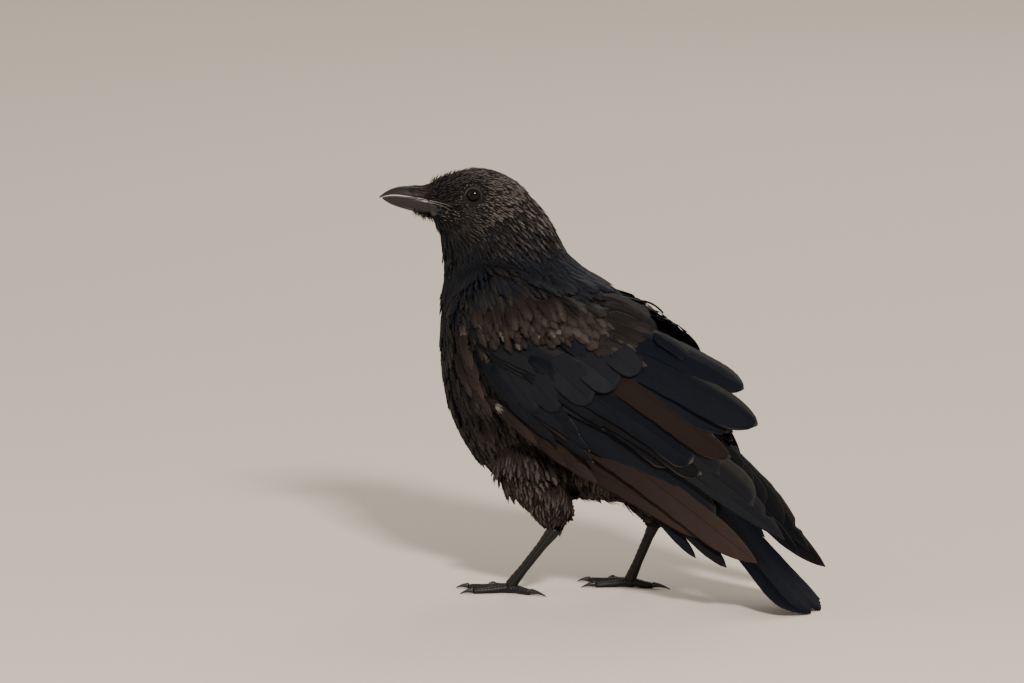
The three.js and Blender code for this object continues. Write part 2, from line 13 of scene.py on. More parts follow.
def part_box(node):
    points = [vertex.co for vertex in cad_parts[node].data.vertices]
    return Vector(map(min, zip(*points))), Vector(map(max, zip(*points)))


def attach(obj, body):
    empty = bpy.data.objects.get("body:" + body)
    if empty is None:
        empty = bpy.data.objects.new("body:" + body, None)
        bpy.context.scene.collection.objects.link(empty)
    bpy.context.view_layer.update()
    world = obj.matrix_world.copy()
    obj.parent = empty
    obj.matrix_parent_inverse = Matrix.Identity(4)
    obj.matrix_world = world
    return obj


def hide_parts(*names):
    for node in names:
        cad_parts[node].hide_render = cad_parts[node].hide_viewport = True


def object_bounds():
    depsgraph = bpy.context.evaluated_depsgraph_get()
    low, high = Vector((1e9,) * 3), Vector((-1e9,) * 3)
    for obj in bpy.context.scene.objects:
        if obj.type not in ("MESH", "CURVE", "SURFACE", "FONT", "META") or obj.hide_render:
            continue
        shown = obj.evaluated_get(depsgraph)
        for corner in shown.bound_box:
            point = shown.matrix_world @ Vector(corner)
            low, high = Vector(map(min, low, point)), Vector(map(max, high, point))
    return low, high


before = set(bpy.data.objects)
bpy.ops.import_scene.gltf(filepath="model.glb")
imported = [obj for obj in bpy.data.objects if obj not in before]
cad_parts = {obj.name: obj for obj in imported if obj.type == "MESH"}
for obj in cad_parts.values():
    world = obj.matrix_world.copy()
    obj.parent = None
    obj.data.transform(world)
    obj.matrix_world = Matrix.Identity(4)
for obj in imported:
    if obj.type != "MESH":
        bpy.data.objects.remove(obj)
cad_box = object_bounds()

# ---- the bird's own frame ---------------------------------------------------------------------
# Sizes are millimetres. The body heads along -X, its left side faces -Y, the soles are at Z = 0.

MM = 0.001
HEAD_TURN = math.radians(28)
NECK_PIVOT_X = -9.0
EYE = {"x": -33.4, "z": 282.3, "out": 13.4, "radius": 6.9}
LEFT, RIGHT = -1, 1


def turned(x, out, z, share=1.0):
    """A place of the straight head, swung about the neck as far as the head is."""
    angle = HEAD_TURN * share
    along = x - NECK_PIVOT_X
    c, s = math.cos(angle), math.sin(angle)
    return np.array([NECK_PIVOT_X + along * c - out * s, along * s + out * c, z])


def turned_way(x, out, z, share=1.0):
    """The same swing for a direction."""
    return turned(x + NECK_PIVOT_X, out, z, share) - np.array([NECK_PIVOT_X, 0, 0])


def frame_shift():
    """How far the frame's origin lies from the bird's own, in millimetres."""
    low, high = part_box("eye_left")
    centre = (np.array(low) + np.array(high)) / 2 / MM
    return centre - turned(EYE["x"], LEFT * EYE["out"], EYE["z"])


SHIFT = frame_shift()


def to_frame(points):
    """The bird's own millimetres in the frame's metres."""
    return (np.asarray(points, float) + SHIFT) * MM


def to_bird(points):
    """The frame's metres in the bird's own millimetres."""
    return np.asarray(points, float) / MM - SHIFT


def unit(vector):
    vector = np.asarray(vector, float)
    return vector / max(np.linalg.norm(vector), 1e-9)


def lerp(a, b, t):
    return np.asarray(a, float) + (np.asarray(b, float) - np.asarray(a, float)) * t


def clamp(value):
    return min(1.0, max(0.0, value))


def wheel(first, second, angle):
    """The way that lies an angle round from the first way towards the second."""
    return first * math.cos(angle) + second * math.sin(angle)


def turns(count):
    """Evenly spaced angles of one whole turn."""
    return np.linspace(0, 2 * math.pi, count + 1)[:-1]


def stand(name, data):
    """Puts a mesh, lamp or camera into the scene as an object."""
    thing = bpy.data.objects.new(name, data)
    bpy.context.collection.objects.link(thing)
    return thing


def smooth_rows(rows, at):
    """Reads a smooth curve through rows of numbers at a row number that may fall between them."""
    rows = np.asarray(rows, float)
    at = min(max(at, 0.0), len(rows) - 1.0)
    i = min(int(at), len(rows) - 2)
    t = at - i
    before, start, end, after = rows[max(i - 1, 0)], rows[i], rows[i + 1], rows[min(i + 2, len(rows) - 1)]
    leaving, arriving = (end - before) / 2, (after - start) / 2
    cubic = 2 * (start - end) + leaving + arriving
    square = 3 * (end - start) - 2 * leaving - arriving
    return ((cubic * t + square) * t + leaving) * t + start


# ---- meshes from rings ------------------------------------------------------------------------

CELL_INSET = 0.04  # the empty border of a body's cell on the bake's map


class Heap:
    """Gathers closed lofts into one mesh, each with its own cell of the bake's map."""

    def __init__(self, cells=1):
        self.points, self.faces, self.maps, self.values = [], [], [], {}
        self.columns = max(1, math.ceil(math.sqrt(cells)))
        self.count = self.made = 0  # points and bodies so far

    def loft(self, rings, hoop=False, **values):
        """Joins rings of equally many points into one closed body. Values are per point, per ring or one.
        A hoop joins its last ring to its first; any other body gets a cap at each end."""
        rings = np.asarray(rings, float)
        rows, around = rings.shape[:2]
        base = self.count
        line, column = divmod(self.made, self.columns)
        steps = rows if hoop else rows - 1

        def place(s, t):
            inset, span = CELL_INSET, 1 - 2 * CELL_INSET
            return (column + inset + span * s) / self.columns, (line + inset + span * t) / self.columns

        for r in range(steps):
            for i in range(around):
                j = (i + 1) % around
                a, b = base + r * around, base + (r + 1) % rows * around
                self.faces.append((a + i, a + j, b + j, b + i))
                s, e, t, u = i / around, (i + 1) / around, r / steps, (r + 1) / steps
                self.maps.extend([place(s, t), place(e, t), place(e, u), place(s, u)])
        for r in () if hoop else (0, rows - 1):
            cap = [base + r * around + i for i in range(around)]
            self.faces.append(tuple(reversed(cap)) if r == 0 else tuple(cap))
            corners = [place(i / around, r / (rows - 1)) for i in range(around)]
            self.maps.extend(reversed(corners) if r == 0 else corners)
        self.points.append(rings.reshape(-1, 3))
        for name, value in values.items():
            value = np.asarray(value, float)
            if value.ndim == 1 and len(value) == rows and rows != around:
                value = value[:, None]
            self.values.setdefault(name, []).append(np.broadcast_to(value, (rows, around)).reshape(-1))
        self.count += rows * around
        self.made += 1

    def mesh(self, name, shift=True):
        points = np.concatenate(self.points)
        mesh = bpy.data.meshes.new(name)
        mesh.from_pydata(to_frame(points) if shift else points, [], self.faces)
        for key, parts in self.values.items():
            layer = mesh.attributes.new(key, "FLOAT", "POINT")
            layer.data.foreach_set("value", np.concatenate(parts).astype(np.float32))
        bake = mesh.uv_layers.new(name="OFBake")
        bake.data.foreach_set("uv", np.asarray(self.maps, np.float32).ravel())
        outward(mesh)
        mesh.shade_smooth()
        return mesh

    def piece(self, name, material):
        piece = stand(name, self.mesh(name))
        piece.data.materials.append(material)
        return piece


def outward(mesh):
    """Turns each closed body's faces out, keeping every corner's place on the map."""
    shape = bmesh.new()
    shape.from_mesh(mesh)
    bmesh.ops.recalc_face_normals(shape, faces=shape.faces)
    shape.to_mesh(mesh)
    shape.free()


# ---- node trees written as sums ---------------------------------------------------------------

class Value:
    """A node's output that takes part in sums and products."""

    def __init__(self, graph, socket):
        self.graph, self.socket = graph, socket

    def output(self, name):
        """Another output of the same node."""
        return Value(self.graph, self.socket.node.outputs[name])

    def _maths(self, operation, *terms):
        return self.graph.node("ShaderNodeMath", {"operation": operation}, dict(enumerate(terms)))

    def __add__(self, other): return self._maths("ADD", self, other)
    def __radd__(self, other): return self._maths("ADD", other, self)
    def __sub__(self, other): return self._maths("SUBTRACT", self, other)
    def __rsub__(self, other): return self._maths("SUBTRACT", other, self)
    def __mul__(self, other): return self._maths("MULTIPLY", self, other)
    def abs(self): return self._maths("ABSOLUTE", self)
    def sine(self): return self._maths("SINE", self)
    def least(self, other): return self._maths("MINIMUM", self, other)
    def most(self, other): return self._maths("MAXIMUM", self, other)


class Graph:
    """Adds nodes to a tree: a type, its settings, and the values or links of its sockets."""

    def __init__(self, tree):
        self.tree = tree

    def node(self, kind, settings=None, inputs=None, output=0):
        node = self.tree.nodes.new(kind)
        for name, value in (settings or {}).items():
            setattr(node, name, value)
        for name, value in (inputs or {}).items():
            socket = node.inputs[name]
            if isinstance(value, Value):
                self.tree.links.new(value.socket, socket)
            else:
                socket.default_value = value
        return Value(self, node.outputs[output]) if node.outputs else None


class Finish(Graph):
    """A material: a Principled surface whose uniform values are set at once and varying ones linked."""

    def __init__(self, name, **uniform):
        self.material = bpy.data.materials.new(name)
        self.material.use_nodes = True
        super().__init__(self.material.node_tree)
        self.shader = self.tree.nodes["Principled BSDF"]
        for key, value in uniform.items():
            self.shader.inputs[key.replace("_", " ")].default_value = value

    def attribute(self, name):
        return self.node("ShaderNodeAttribute", {"attribute_name": name}, output=2)

    def attributes(self, *names):
        return [self.attribute(name) for name in names]

    def place(self):
        return self.node("ShaderNodeTexCoord", output=3)

    def noise(self, vector, scale, detail=3.0, roughness=0.55):
        sizes = {"Scale": scale, "Detail": detail, "Roughness": roughness}
        return self.node("ShaderNodeTexNoise", None, {"Vector": vector, **sizes})

    def ramp(self, value, low, high, start=0.0, end=1.0):
        ends = {"From Min": low, "From Max": high, "To Min": start, "To Max": end}
        settings = {"interpolation_type": "SMOOTHSTEP"}
        return self.node("ShaderNodeMapRange", settings, {"Value": value, **ends})

    def mix(self, factor, a, b):
        colours = {name: (*c, 1.0) if isinstance(c, tuple) else c for name, c in ((6, a), (7, b))}
        return self.node("ShaderNodeMix", {"data_type": "RGBA"}, {0: factor, **colours}, output=2)

    def vector(self, x, y, z=0.0):
        return self.node("ShaderNodeCombineXYZ", None, {0: x, 1: y, 2: z})

    def bump(self, height, strength, distance):
        sizes = {"Strength": strength, "Distance": distance}
        return self.node("ShaderNodeBump", None, {"Height": height, **sizes})

    def link(self, **sockets):
        for name, value in sockets.items():
            self.tree.links.new(value.socket, self.shader.inputs[name.replace("_", " ")])
        return self.material


# ---- finishes ---------------------------------------------------------------------------------

BLUE_BLACK, SOFT_BLACK, SHAFT_BLACK = (0.0024, 0.0037, 0.0074), (0.0038, 0.0033, 0.0032), (0.0030, 0.0026, 0.0026)
WORN_BROWN, FADED_BROWN, PALE_EDGE = (0.0135, 0.0080, 0.0064), (0.0520, 0.0340, 0.0270), (0.1250, 0.1080, 0.0970)
# The second colour on the next line is a painted blue-grey sheen of the flight feathers and coverts.
OLIVE_GREY, PAINTED_SHEEN_GREY = (0.0420, 0.0400, 0.0310), (0.0085, 0.0096, 0.0130)
# The third horn colour below is a painted highlight along the bill's cutting edge.
HORN_BLACK, HORN_GREY, HORN_PAINTED_HIGHLIGHT = (0.0055, 0.0053, 0.0055), (0.0150, 0.0145, 0.0150), (0.70, 0.66, 0.60)
PUPIL, IRIS_DARK, IRIS_BROWN = (0.002, 0.002, 0.002), (0.0032, 0.0022, 0.0018), (0.0085, 0.0052, 0.0040)
SCUTE_BLACK, SCUTE_DUST = (0.0060, 0.0055, 0.0052), (0.0560, 0.0500, 0.0450)
CLAW_BLACK, CLAW_GREY = (0.0035, 0.0033, 0.0033), (0.0100, 0.0092, 0.0088)
LID_BLACK, LID_PALE = (0.0026, 0.0023, 0.0022), (0.1500, 0.1350, 0.1220)
DOWN_GREY, DOWN_WHITE = (0.10, 0.085, 0.07), (0.34, 0.31, 0.27)
BARB_SLANT = 9.0  # how far the drawn barbs run towards the tip between the shaft and the edge


def plumage_colour(finish, worn, pale):
    """Fresh feathers are blue-black, old ones brown; pale lightens towards worn tips, which on the head also stand
    for painted sheen.
    """
    fresh = finish.mix(finish.ramp(worn, 0.0, 0.45), BLUE_BLACK, SOFT_BLACK)
    colour = finish.mix(finish.ramp(worn, 0.35, 1.0), fresh, WORN_BROWN)
    return finish.mix(pale, colour, PALE_EDGE)


def coat_finish():
    """Small soft feathers: barbs fan from the shaft, tips are a little paler; on the head this paleness is also
    painted sheen.
    """
    finish = Finish("contour_feathers", Roughness=0.6, Specular_IOR_Level=0.11)
    along, across, worn, chance, frost = finish.attributes("along", "across", "worn", "chance", "frost")
    barbs = finish.noise(finish.vector(across * 9.0, (along - across.abs() * 0.35) * 3.0, chance * 40.0), 1.6, 2.0)
    streak = finish.ramp(across.abs(), 0.15, 0.8, 1.0, 0.12)
    tip = finish.ramp(along, 0.2, 0.9) * finish.ramp(chance, 0.05, 0.65) * streak
    shade = finish.ramp(barbs, 0.3, 0.75, 0.0, 1.0)
    worn = (worn + (chance - 0.5) * 0.35 + (shade - 0.5) * 0.3).most(0.0).least(1.0)
    # pale: paler feather tips; where they are strongest, on the head, they also stand for painted sheen.
    pale = (tip * frost * (0.35 + shade * 0.65)).least(0.8)
    return finish.link(Base_Color=plumage_colour(finish, worn, pale), Normal=finish.bump(barbs, 0.5, 0.0004))


def skin_finish():
    """Bare skin under the coat, with the coat's own markings."""
    finish = Finish("skin", Roughness=0.8, Specular_IOR_Level=0.12)
    folds = finish.noise(finish.place(), 900.0)
    colour = plumage_colour(finish, finish.attribute("worn"), folds * 0.05)
    return finish.link(Base_Color=colour, Normal=finish.bump(folds, 0.3, 0.0003))


def vane_finish():
    """Flight feathers and coverts: a glossy shaft, fine slanting barbs, worn tips and edges, and a painted blue-grey
    sheen.
    """
    finish = Finish("flight_feathers", Specular_IOR_Level=0.075)
    along, across, reach, worn, chance = finish.attributes("along", "across", "reach", "worn", "chance")
    edge, olive, bloom, faded = finish.attributes("edge", "olive", "bloom", "faded")
    slant = reach - across.abs() * BARB_SLANT
    barbs = (slant * 5.2 + finish.noise(finish.vector(reach * 0.05, across, chance * 30.0), 2.0) * 7.0).sine()
    cloud = finish.noise(finish.vector(across * 1.2, slant * 0.09, chance * 50.0), 1.0, 4.0)
    rim = finish.ramp(across.abs(), 0.88, 0.97) * finish.ramp(along, 0.7, 0.92)
    rim = rim.most(finish.ramp(along, 0.975, 1.0)) * edge
    shaft = finish.ramp(across.abs(), 0.02, 0.07, 1.0, 0.0)
    mottled = (worn + (cloud - 0.5) * 0.35).most(0.0).least(1.0)
    colour = plumage_colour(finish, mottled, rim * 0.8 * (0.4 + cloud))
    # Painted sheen: blue-grey laid into the colour where the feather glosses.
    colour = finish.mix(bloom * (0.5 + cloud), colour, PAINTED_SHEEN_GREY)
    bleached = faded * finish.ramp(along, 0.3, 1.0, 0.15) * (0.4 + cloud)
    colour = finish.mix(bleached.least(1.0), colour, FADED_BROWN)
    inner = finish.ramp(across, 0.42, 0.8) * olive * (0.4 + cloud)
    colour = finish.mix(inner.least(1.0), colour, OLIVE_GREY)
    colour = finish.mix(shaft * 0.5, colour, SHAFT_BLACK)
    rough = 0.46 + cloud * 0.2 + worn * 0.12 - shaft * 0.15
    height = barbs * 0.7 + cloud * 1.6
    return finish.link(Base_Color=colour, Roughness=rough, Normal=finish.bump(height, 0.5, 0.0003))


def horn_finish():
    """Bill: slate-black horn with fine lengthwise scratches and a painted highlight along the cutting edge."""
    finish = Finish("bill_horn", Specular_IOR_Level=0.38)
    along, rub = finish.attributes("along", "rub")
    grain = finish.noise(finish.place(), 700.0, 4.0)
    flakes = finish.noise(finish.vector(along * 4.0, rub * 9.0), 6.0, 4.0)
    # Painted highlight: a pale strip along the cutting edge, broken by the grain.
    rubbed = finish.ramp(rub, 0.25, 0.9) * (0.5 + grain * 0.6)
    colour = finish.mix(rubbed, finish.mix(flakes, HORN_BLACK, HORN_GREY), HORN_PAINTED_HIGHLIGHT)
    height = finish.bump(grain + flakes, 0.25, 0.0002)
    return finish.link(Base_Color=colour, Roughness=0.26 + grain * 0.2, Normal=height)


def eye_finish():
    """A wet eye: black pupil in a very dark brown iris."""
    finish = Finish("eye", Roughness=0.03, Specular_IOR_Level=0.18)
    iris = finish.mix(finish.noise(finish.place(), 1500.0), IRIS_DARK, IRIS_BROWN)
    return finish.link(Base_Color=finish.mix(finish.ramp(finish.attribute("ray"), 0.27, 0.31), PUPIL, iris))


def leg_finish():
    """Scutes: black, satin, dusty in the joints between them."""
    finish = Finish("leg_scutes", Specular_IOR_Level=0.25)
    grain = finish.noise(finish.place(), 1400.0, 4.0)
    dust = finish.ramp(finish.attribute("joint"), 0.2, 1.0) * (0.3 + grain * 0.5)
    colour = finish.mix(dust, SCUTE_BLACK, SCUTE_DUST)
    return finish.link(Base_Color=colour, Roughness=0.4 + grain * 0.25, Normal=finish.bump(grain, 0.4, 0.0002))


def claw_finish():
    """Claws: black horn, a little greyer in places."""
    finish = Finish("claw_horn", Specular_IOR_Level=0.55)
    grain = finish.noise(finish.place(), 1100.0, 3.0)
    return finish.link(Base_Color=finish.mix(grain, CLAW_BLACK, CLAW_GREY), Roughness=0.24 + grain * 0.18)


def lid_finish():
    """Bare wrinkled skin round the eye and at the corners of the mouth: pale in places, with a painted highlight on
    one side of the lid's rim.
    """
    finish = Finish("eyelid", Roughness=0.6, Specular_IOR_Level=0.15)
    folds = finish.noise(finish.place(), 1600.0, 4.0)
    # The pale mix stands for pale skin and flecks, and on the lid's rim also for a painted highlight.
    colour = finish.mix(finish.attribute("rub") * (0.4 + folds), LID_BLACK, LID_PALE)
    return finish.link(Base_Color=colour, Normal=finish.bump(folds, 0.5, 0.0002))


def down_finish():
    """White down that shows at a parted place of the wing's edge."""
    finish = Finish("white_down", Roughness=0.8, Specular_IOR_Level=0.2)
    return finish.link(Base_Color=finish.mix(finish.noise(finish.place(), 800.0), DOWN_GREY, DOWN_WHITE))


# ---- how the coat lies ------------------------------------------------------------------------
# Guides by region: share of the head's turn, place, the way the feathers point, their length, how
# many degrees they stand up, how worn (brown) they are, how pale their tips are (on the head this
# paleness also paints the sheen). A place is x, out from the middle plane, and z; the x of a
# thigh's guide is measured from its ankle.

GUIDES = {
    "face": [
        (1, (-64, 4, 289), (1, 0, 0.25), 6.4, 44, 0.4, 0.9), (1, (-56, 12, 282), (1, 0.05, 0.12), 3.8, 20, 0.45, 0.6),
        (1, (-62, 10, 268), (1, 0, -0.25), 4, 18, 0.4, 0.5), (1, (-47, 15, 290), (1, 0, 0.1), 4.0, 14, 0.4, 0.8),
        (1, (-44, 17, 272), (1, 0, -0.2), 3.6, 14, 0.45, 0.9), (1, (-42, 18, 281), (1, 0, 0.1), 2.8, 9, 0.45, 0.8),
        (1, (-33, 19, 291), (1, 0, 0.0), 3.2, 8, 0.4, 0.9), (1, (-33, 20, 273), (1, 0, -0.25), 3.2, 8, 0.5, 1.0),
        (1, (-52, 5, 296), (1, 0, 0.45), 6.0, 30, 0.35, 0.9),
    ],
    "head": [
        # The head's strong tip paleness is partly painted sheen on the crown, ear and nape.
        (1, (-43, 6, 298), (1, 0, 0.2), 5.4, 22, 0.4, 2.4), (1, (-25, 8, 300), (1, 0, -0.1), 5.0, 8, 0.45, 3.0),
        (1, (-20, 19, 284), (0.95, 0, -0.25), 4.8, 8, 0.6, 4.2),
        (1, (-22, 20, 270), (0.9, 0, -0.35), 5, 8, 0.65, 3.6), (1, (-40, 18, 262), (0.7, 0, -0.6), 6.5, 9, 0.35, 0.3),
        (1, (-4, 12, 290), (0.8, 0, -0.55), 6.4, 9, 0.5, 2.8), (1, (-66, 4, 264), (0.7, 0, -0.8), 7, 22, 0.3, 0.2),
    ],
    "neck": [
        (1, (-58, 6, 250), (0.15, 0, -1), 10, 19, 0.2, 0.1), (1, (8, 12, 278), (0.62, 0, -0.78), 9, 11, 0.45, 1.7),
        (0.8, (-10, 24, 255), (0.6, 0, -0.8), 10, 8, 0.35, 0.1),
        (0.9, (-16, 23, 261), (0.7, 0, -0.7), 8, 8, 0.4, 0.2),
        (0.8, (-40, 20, 245), (0.3, 0, -0.95), 10, 9, 0.2, 0.1),
        (0.7, (20, 15, 262), (0.66, 0, -0.75), 11, 11, 0.45, 0.9),
        (0.5, (-56, 6, 225), (0.05, 0, -1), 13, 12, 0.15, 0.15),
        (0.4, (-30, 32, 225), (0.3, 0, -0.95), 13, 8, 0.15, 0.05),
        (0.3, (18, 30, 240), (0.7, 0, -0.7), 14, 8, 0.1, 0.05),
    ],
    "breast": [
        (0, (-60, 8, 195), (0.02, 0, -1), 16, 10, 0.15, 0.15), (0, (-48, 34, 190), (0.25, 0, -0.97), 16, 9, 0.2, 0.2),
        (0, (-58, 10, 150), (0.2, 0, -0.98), 18, 9, 0.25, 0.15),
        (0, (-45, 34, 145), (0.35, 0, -0.93), 18, 9, 0.35, 0.2),
        (0, (-45, 12, 110), (0.55, 0, -0.83), 19, 9, 0.35, 0.2),
        (0, (-20, 35, 100), (0.55, 0, -0.8), 18, 10, 0.6, 0.25),
    ],
    "belly": [
        (0, (-10, 12, 75), (0.92, 0, -0.3), 18, 9, 0.55, 0.25), (0, (40, 12, 66), (1, 0, -0.15), 18, 9, 0.5, 0.25),
        (0, (90, 10, 67), (1, 0, -0.1), 18, 10, 0.4, 0.2), (0, (45, 36, 85), (0.85, 0, -0.5), 18, 10, 0.55, 0.25),
        (0, (125, 8, 75), (0.86, 0, -0.5), 20, 8, 0.2, 0.1),
    ],
    "back": [
        (0, (35, 14, 240), (0.85, 0, -0.5), 16, 6, 0.05, 0.0), (0, (60, 18, 224), (0.86, 0, -0.5), 18, 7, 0.1, 0.03),
        (0, (90, 14, 202), (0.82, 0, -0.57), 20, 7, 0.3, 0.1), (0, (115, 12, 165), (0.75, 0, -0.65), 20, 6, 0.2, 0.1),
        (0, (140, 8, 122), (0.73, 0, -0.68), 22, 6, 0.1, 0.05), (0, (110, 30, 130), (0.78, 0, -0.6), 20, 7, 0.2, 0.1),
    ],
    "shoulder": [
        (0, (-30, 44, 212), (0.42, 0, -0.9), 15, 7, 0.3, 0.1), (0, (0, 46, 218), (0.6, 0, -0.8), 17, 6, 0.35, 0.1),
        (0, (-18, 53, 190), (0.45, 0, -0.88), 16, 7, 0.85, 1.0),
        (0, (10, 57, 187), (0.55, 0, -0.83), 18, 6.5, 0.9, 0.8),
        (0, (42, 55, 187), (0.75, 0, -0.66), 23, 6, 0.75, 0.2), (0, (76, 52, 180), (0.8, 0, -0.6), 25, 6, 0.9, 0.2),
        (0, (40, 48, 207), (0.72, 0, -0.66), 22, 6, 0.75, 0.3), (0, (62, 28, 222), (0.85, 0, -0.5), 19, 5, 0.4, 0.25),
        (0, (100, 36, 188), (0.8, 0, -0.6), 15, 3, 0.4, 0.2),
    ],
    "wrist": [
        (0, (-26, 50, 180), (0.45, 0, -0.9), 13, 10, 0.75, 0.4), (0, (-8, 57, 176), (0.5, 0, -0.85), 13, 9, 0.5, 0.3),
    ],
    "wing": [
        (0, (25, 59, 156), (0.72, 0, -0.7), 16, 6, 0.2, 0.1), (0, (66, 60, 135), (0.8, 0, -0.6), 16, 6, 0.2, 0.1),
        (0, (30, 60, 128), (0.8, 0, -0.6), 14, 6, 0.2, 0.1), (0, (92, 57, 138), (0.8, 0, -0.6), 16, 6, 0.2, 0.1),
    ],
    "thigh": [
        (0, (-32, 42, 105), (0.35, 0, -0.93), 13, 7, 0.9, 0.6), (0, (-12, 48, 80), (0.12, 0, -0.99), 11, 7, 1.0, 0.9),
        (0, (-5, 42, 60), (0.1, 0, -1), 5.5, 6, 1.0, 0.9), (0, (23, 44, 95), (-0.1, 0, -1), 12, 6, 0.9, 0.6),
        (0, (15, 42, 78), (-0.4, 0, -0.92), 8, 5, 1.0, 0.8), (0, (8, 40, 62), (-0.6, 0, -0.8), 5, 4, 0.9, 0.6),
    ],
}
REGIONS = list(GUIDES)
GUIDES_FELT = 5  # how many guides a place listens to
GUIDE_SOFTNESS, GUIDE_FALL = 2.0, 2.5  # a guide's say is 1 over its distance plus this, to this power
COAT_DEPTH = {"face": 1.0, "head": 1.4, "neck": 2.2, "back": 1.8, "thigh": 2.0}
BODY_COAT_DEPTH = 2.8


def guide_table():
    """Every guide on both sides: places, ways, sizes and region numbers."""
    places, ways, sizes, regions = [], [], [], []
    for number, (region, guides) in enumerate(GUIDES.items()):
        for share, (x, out, z), (way_x, way_out, way_z), *size in guides:
            for leg in LEGS.values():
                side, start = leg["side"], leg["ankle"][0] if region == "thigh" else 0
                places.append(turned(start + x, side * out, z, share))
                ways.append(turned_way(way_x, side * way_out, way_z, share))
                sizes.append(size)
                regions.append(number)
    return np.array(places), np.array(ways), np.array(sizes, float), np.array(regions)


def groom(points, normals):
    """The lie, sizes and region of the coat at each point of the skin, from the nearest guides."""
    places, ways, sizes, regions = guide_table()
    tree = KDTree(len(places))
    for i, place in enumerate(places):
        tree.insert(place, i)
    tree.balance()
    lie, size, region = np.zeros((len(points), 3)), np.zeros((len(points), sizes.shape[1])), []
    for k, point in enumerate(points):
        _, rows, distances = zip(*tree.find_n(point, GUIDES_FELT))
        rows = list(rows)
        weights = np.array([1 / (distance + GUIDE_SOFTNESS) ** GUIDE_FALL for distance in distances])
        weights /= weights.sum()
        lie[k] = weights @ ways[rows]
        size[k] = weights @ sizes[rows]
        region.append(regions[rows[int(np.argmax(weights))]])
    lie -= normals * (lie * normals).sum(axis=1, keepdims=True)
    lie /= np.maximum(np.linalg.norm(lie, axis=1, keepdims=True), 1e-6)
    return lie, size, np.array(region)


# ---- skin -------------------------------------------------------------------------------------

FLESH = ["head", "neck", "trunk", "thigh_left", "thigh_right", "wing_left_arm", "wing_right_arm"]
SKIN_SWELL = 0.5  # the flesh solids grow by this much, so that their parting gaps close
SKIN_VOXEL = 1.8
EYE_BARE, EYE_BARE_AHEAD = 7.0, 1.3  # radius round the eye that carries no coat, and how far forward it lies
BILL_ROOT, BILL_ROOT_RADIUS, BILL_ROOT_FACING = (-68, 0, 277), 16, 0.62
THIGH_END = 55.0  # the coat of a thigh starts over this height
# Places that the quills cover carry no coat: farther out and farther along than this, and across from-to.
UNDER_QUILLS = [(38, 62, -15, 44), (26, 76, -15, 66)]


def joined_flesh():
    """One object from copies of the flesh solids."""
    merged = bpy.data.meshes.new("flesh")
    points, faces = [], []
    for node in FLESH:
        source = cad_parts[node].data
        base = len(points)
        points.extend(tuple(v.co) for v in source.vertices)
        faces.extend(tuple(base + i for i in p.vertices) for p in source.polygons)
    merged.from_pydata(points, [], faces)
    return stand("flesh", merged)


def plain_mesh(thing):
    """The mesh that an object's modifiers make."""
    return bpy.data.meshes.new_from_object(thing.evaluated_get(bpy.context.evaluated_depsgraph_get()))


def finished(source, modifiers):
    """The plain mesh that these modifiers make of an object; the object itself is dropped."""
    for name, kind, settings in modifiers:
        modifier = source.modifiers.new(name, kind)
        for key, value in settings.items():
            setattr(modifier, key, value)
    mesh = plain_mesh(source)
    bpy.data.objects.remove(source)
    return mesh


def triples(items, name):
    """One vector of every vertex or normal, as rows."""
    values = np.empty(len(items) * 3)
    items.foreach_get(name, values)
    return values.reshape(-1, 3)


def store(mesh, name, values, kind="FLOAT"):
    """Keeps a value of every vertex with the mesh."""
    layer = mesh.attributes.new(name, kind, "POINT").data
    layer.foreach_set("value" if kind == "FLOAT" else "vector", np.asarray(values, np.float32).ravel())


def eye_centre(side):
    """The middle of an eye."""
    return turned(EYE["x"], side * EYE["out"], EYE["z"])


def eye_axis(side):
    """The way an eye looks: out and a little forward."""
    return unit(turned_way(-0.12, side * 1.0, -0.03))


def from_eye(points, side):
    """Distance from the line through the eye's middle, where that line leaves the head on this side."""
    away = points - eye_centre(side) - turned_way(-EYE_BARE_AHEAD, 0, 0)
    depth = away @ eye_axis(side)
    return np.where(depth > 0, np.linalg.norm(away - np.outer(depth, eye_axis(side)), axis=1), 1e3)


def bare_places(points, normals, region):
    """Where the skin carries no coat: eyes, bill root, shanks, and under the quills."""
    bare = np.minimum(from_eye(points, LEFT), from_eye(points, RIGHT)) < EYE_BARE
    along, across = np.array([wing_frame(x, z) for x, _, z in points]).T
    for out, start, low, high in UNDER_QUILLS:
        bare |= (np.abs(points[:, 1]) > out) & (along > start) & (across > low) & (across < high)
    bare |= (region == REGIONS.index("thigh")) & (points[:, 2] < THIGH_END)
    near_bill = np.linalg.norm(points - turned(*BILL_ROOT), axis=1) < BILL_ROOT_RADIUS
    return bare | (normals @ turned_way(-1, 0, 0) > BILL_ROOT_FACING) & near_bill


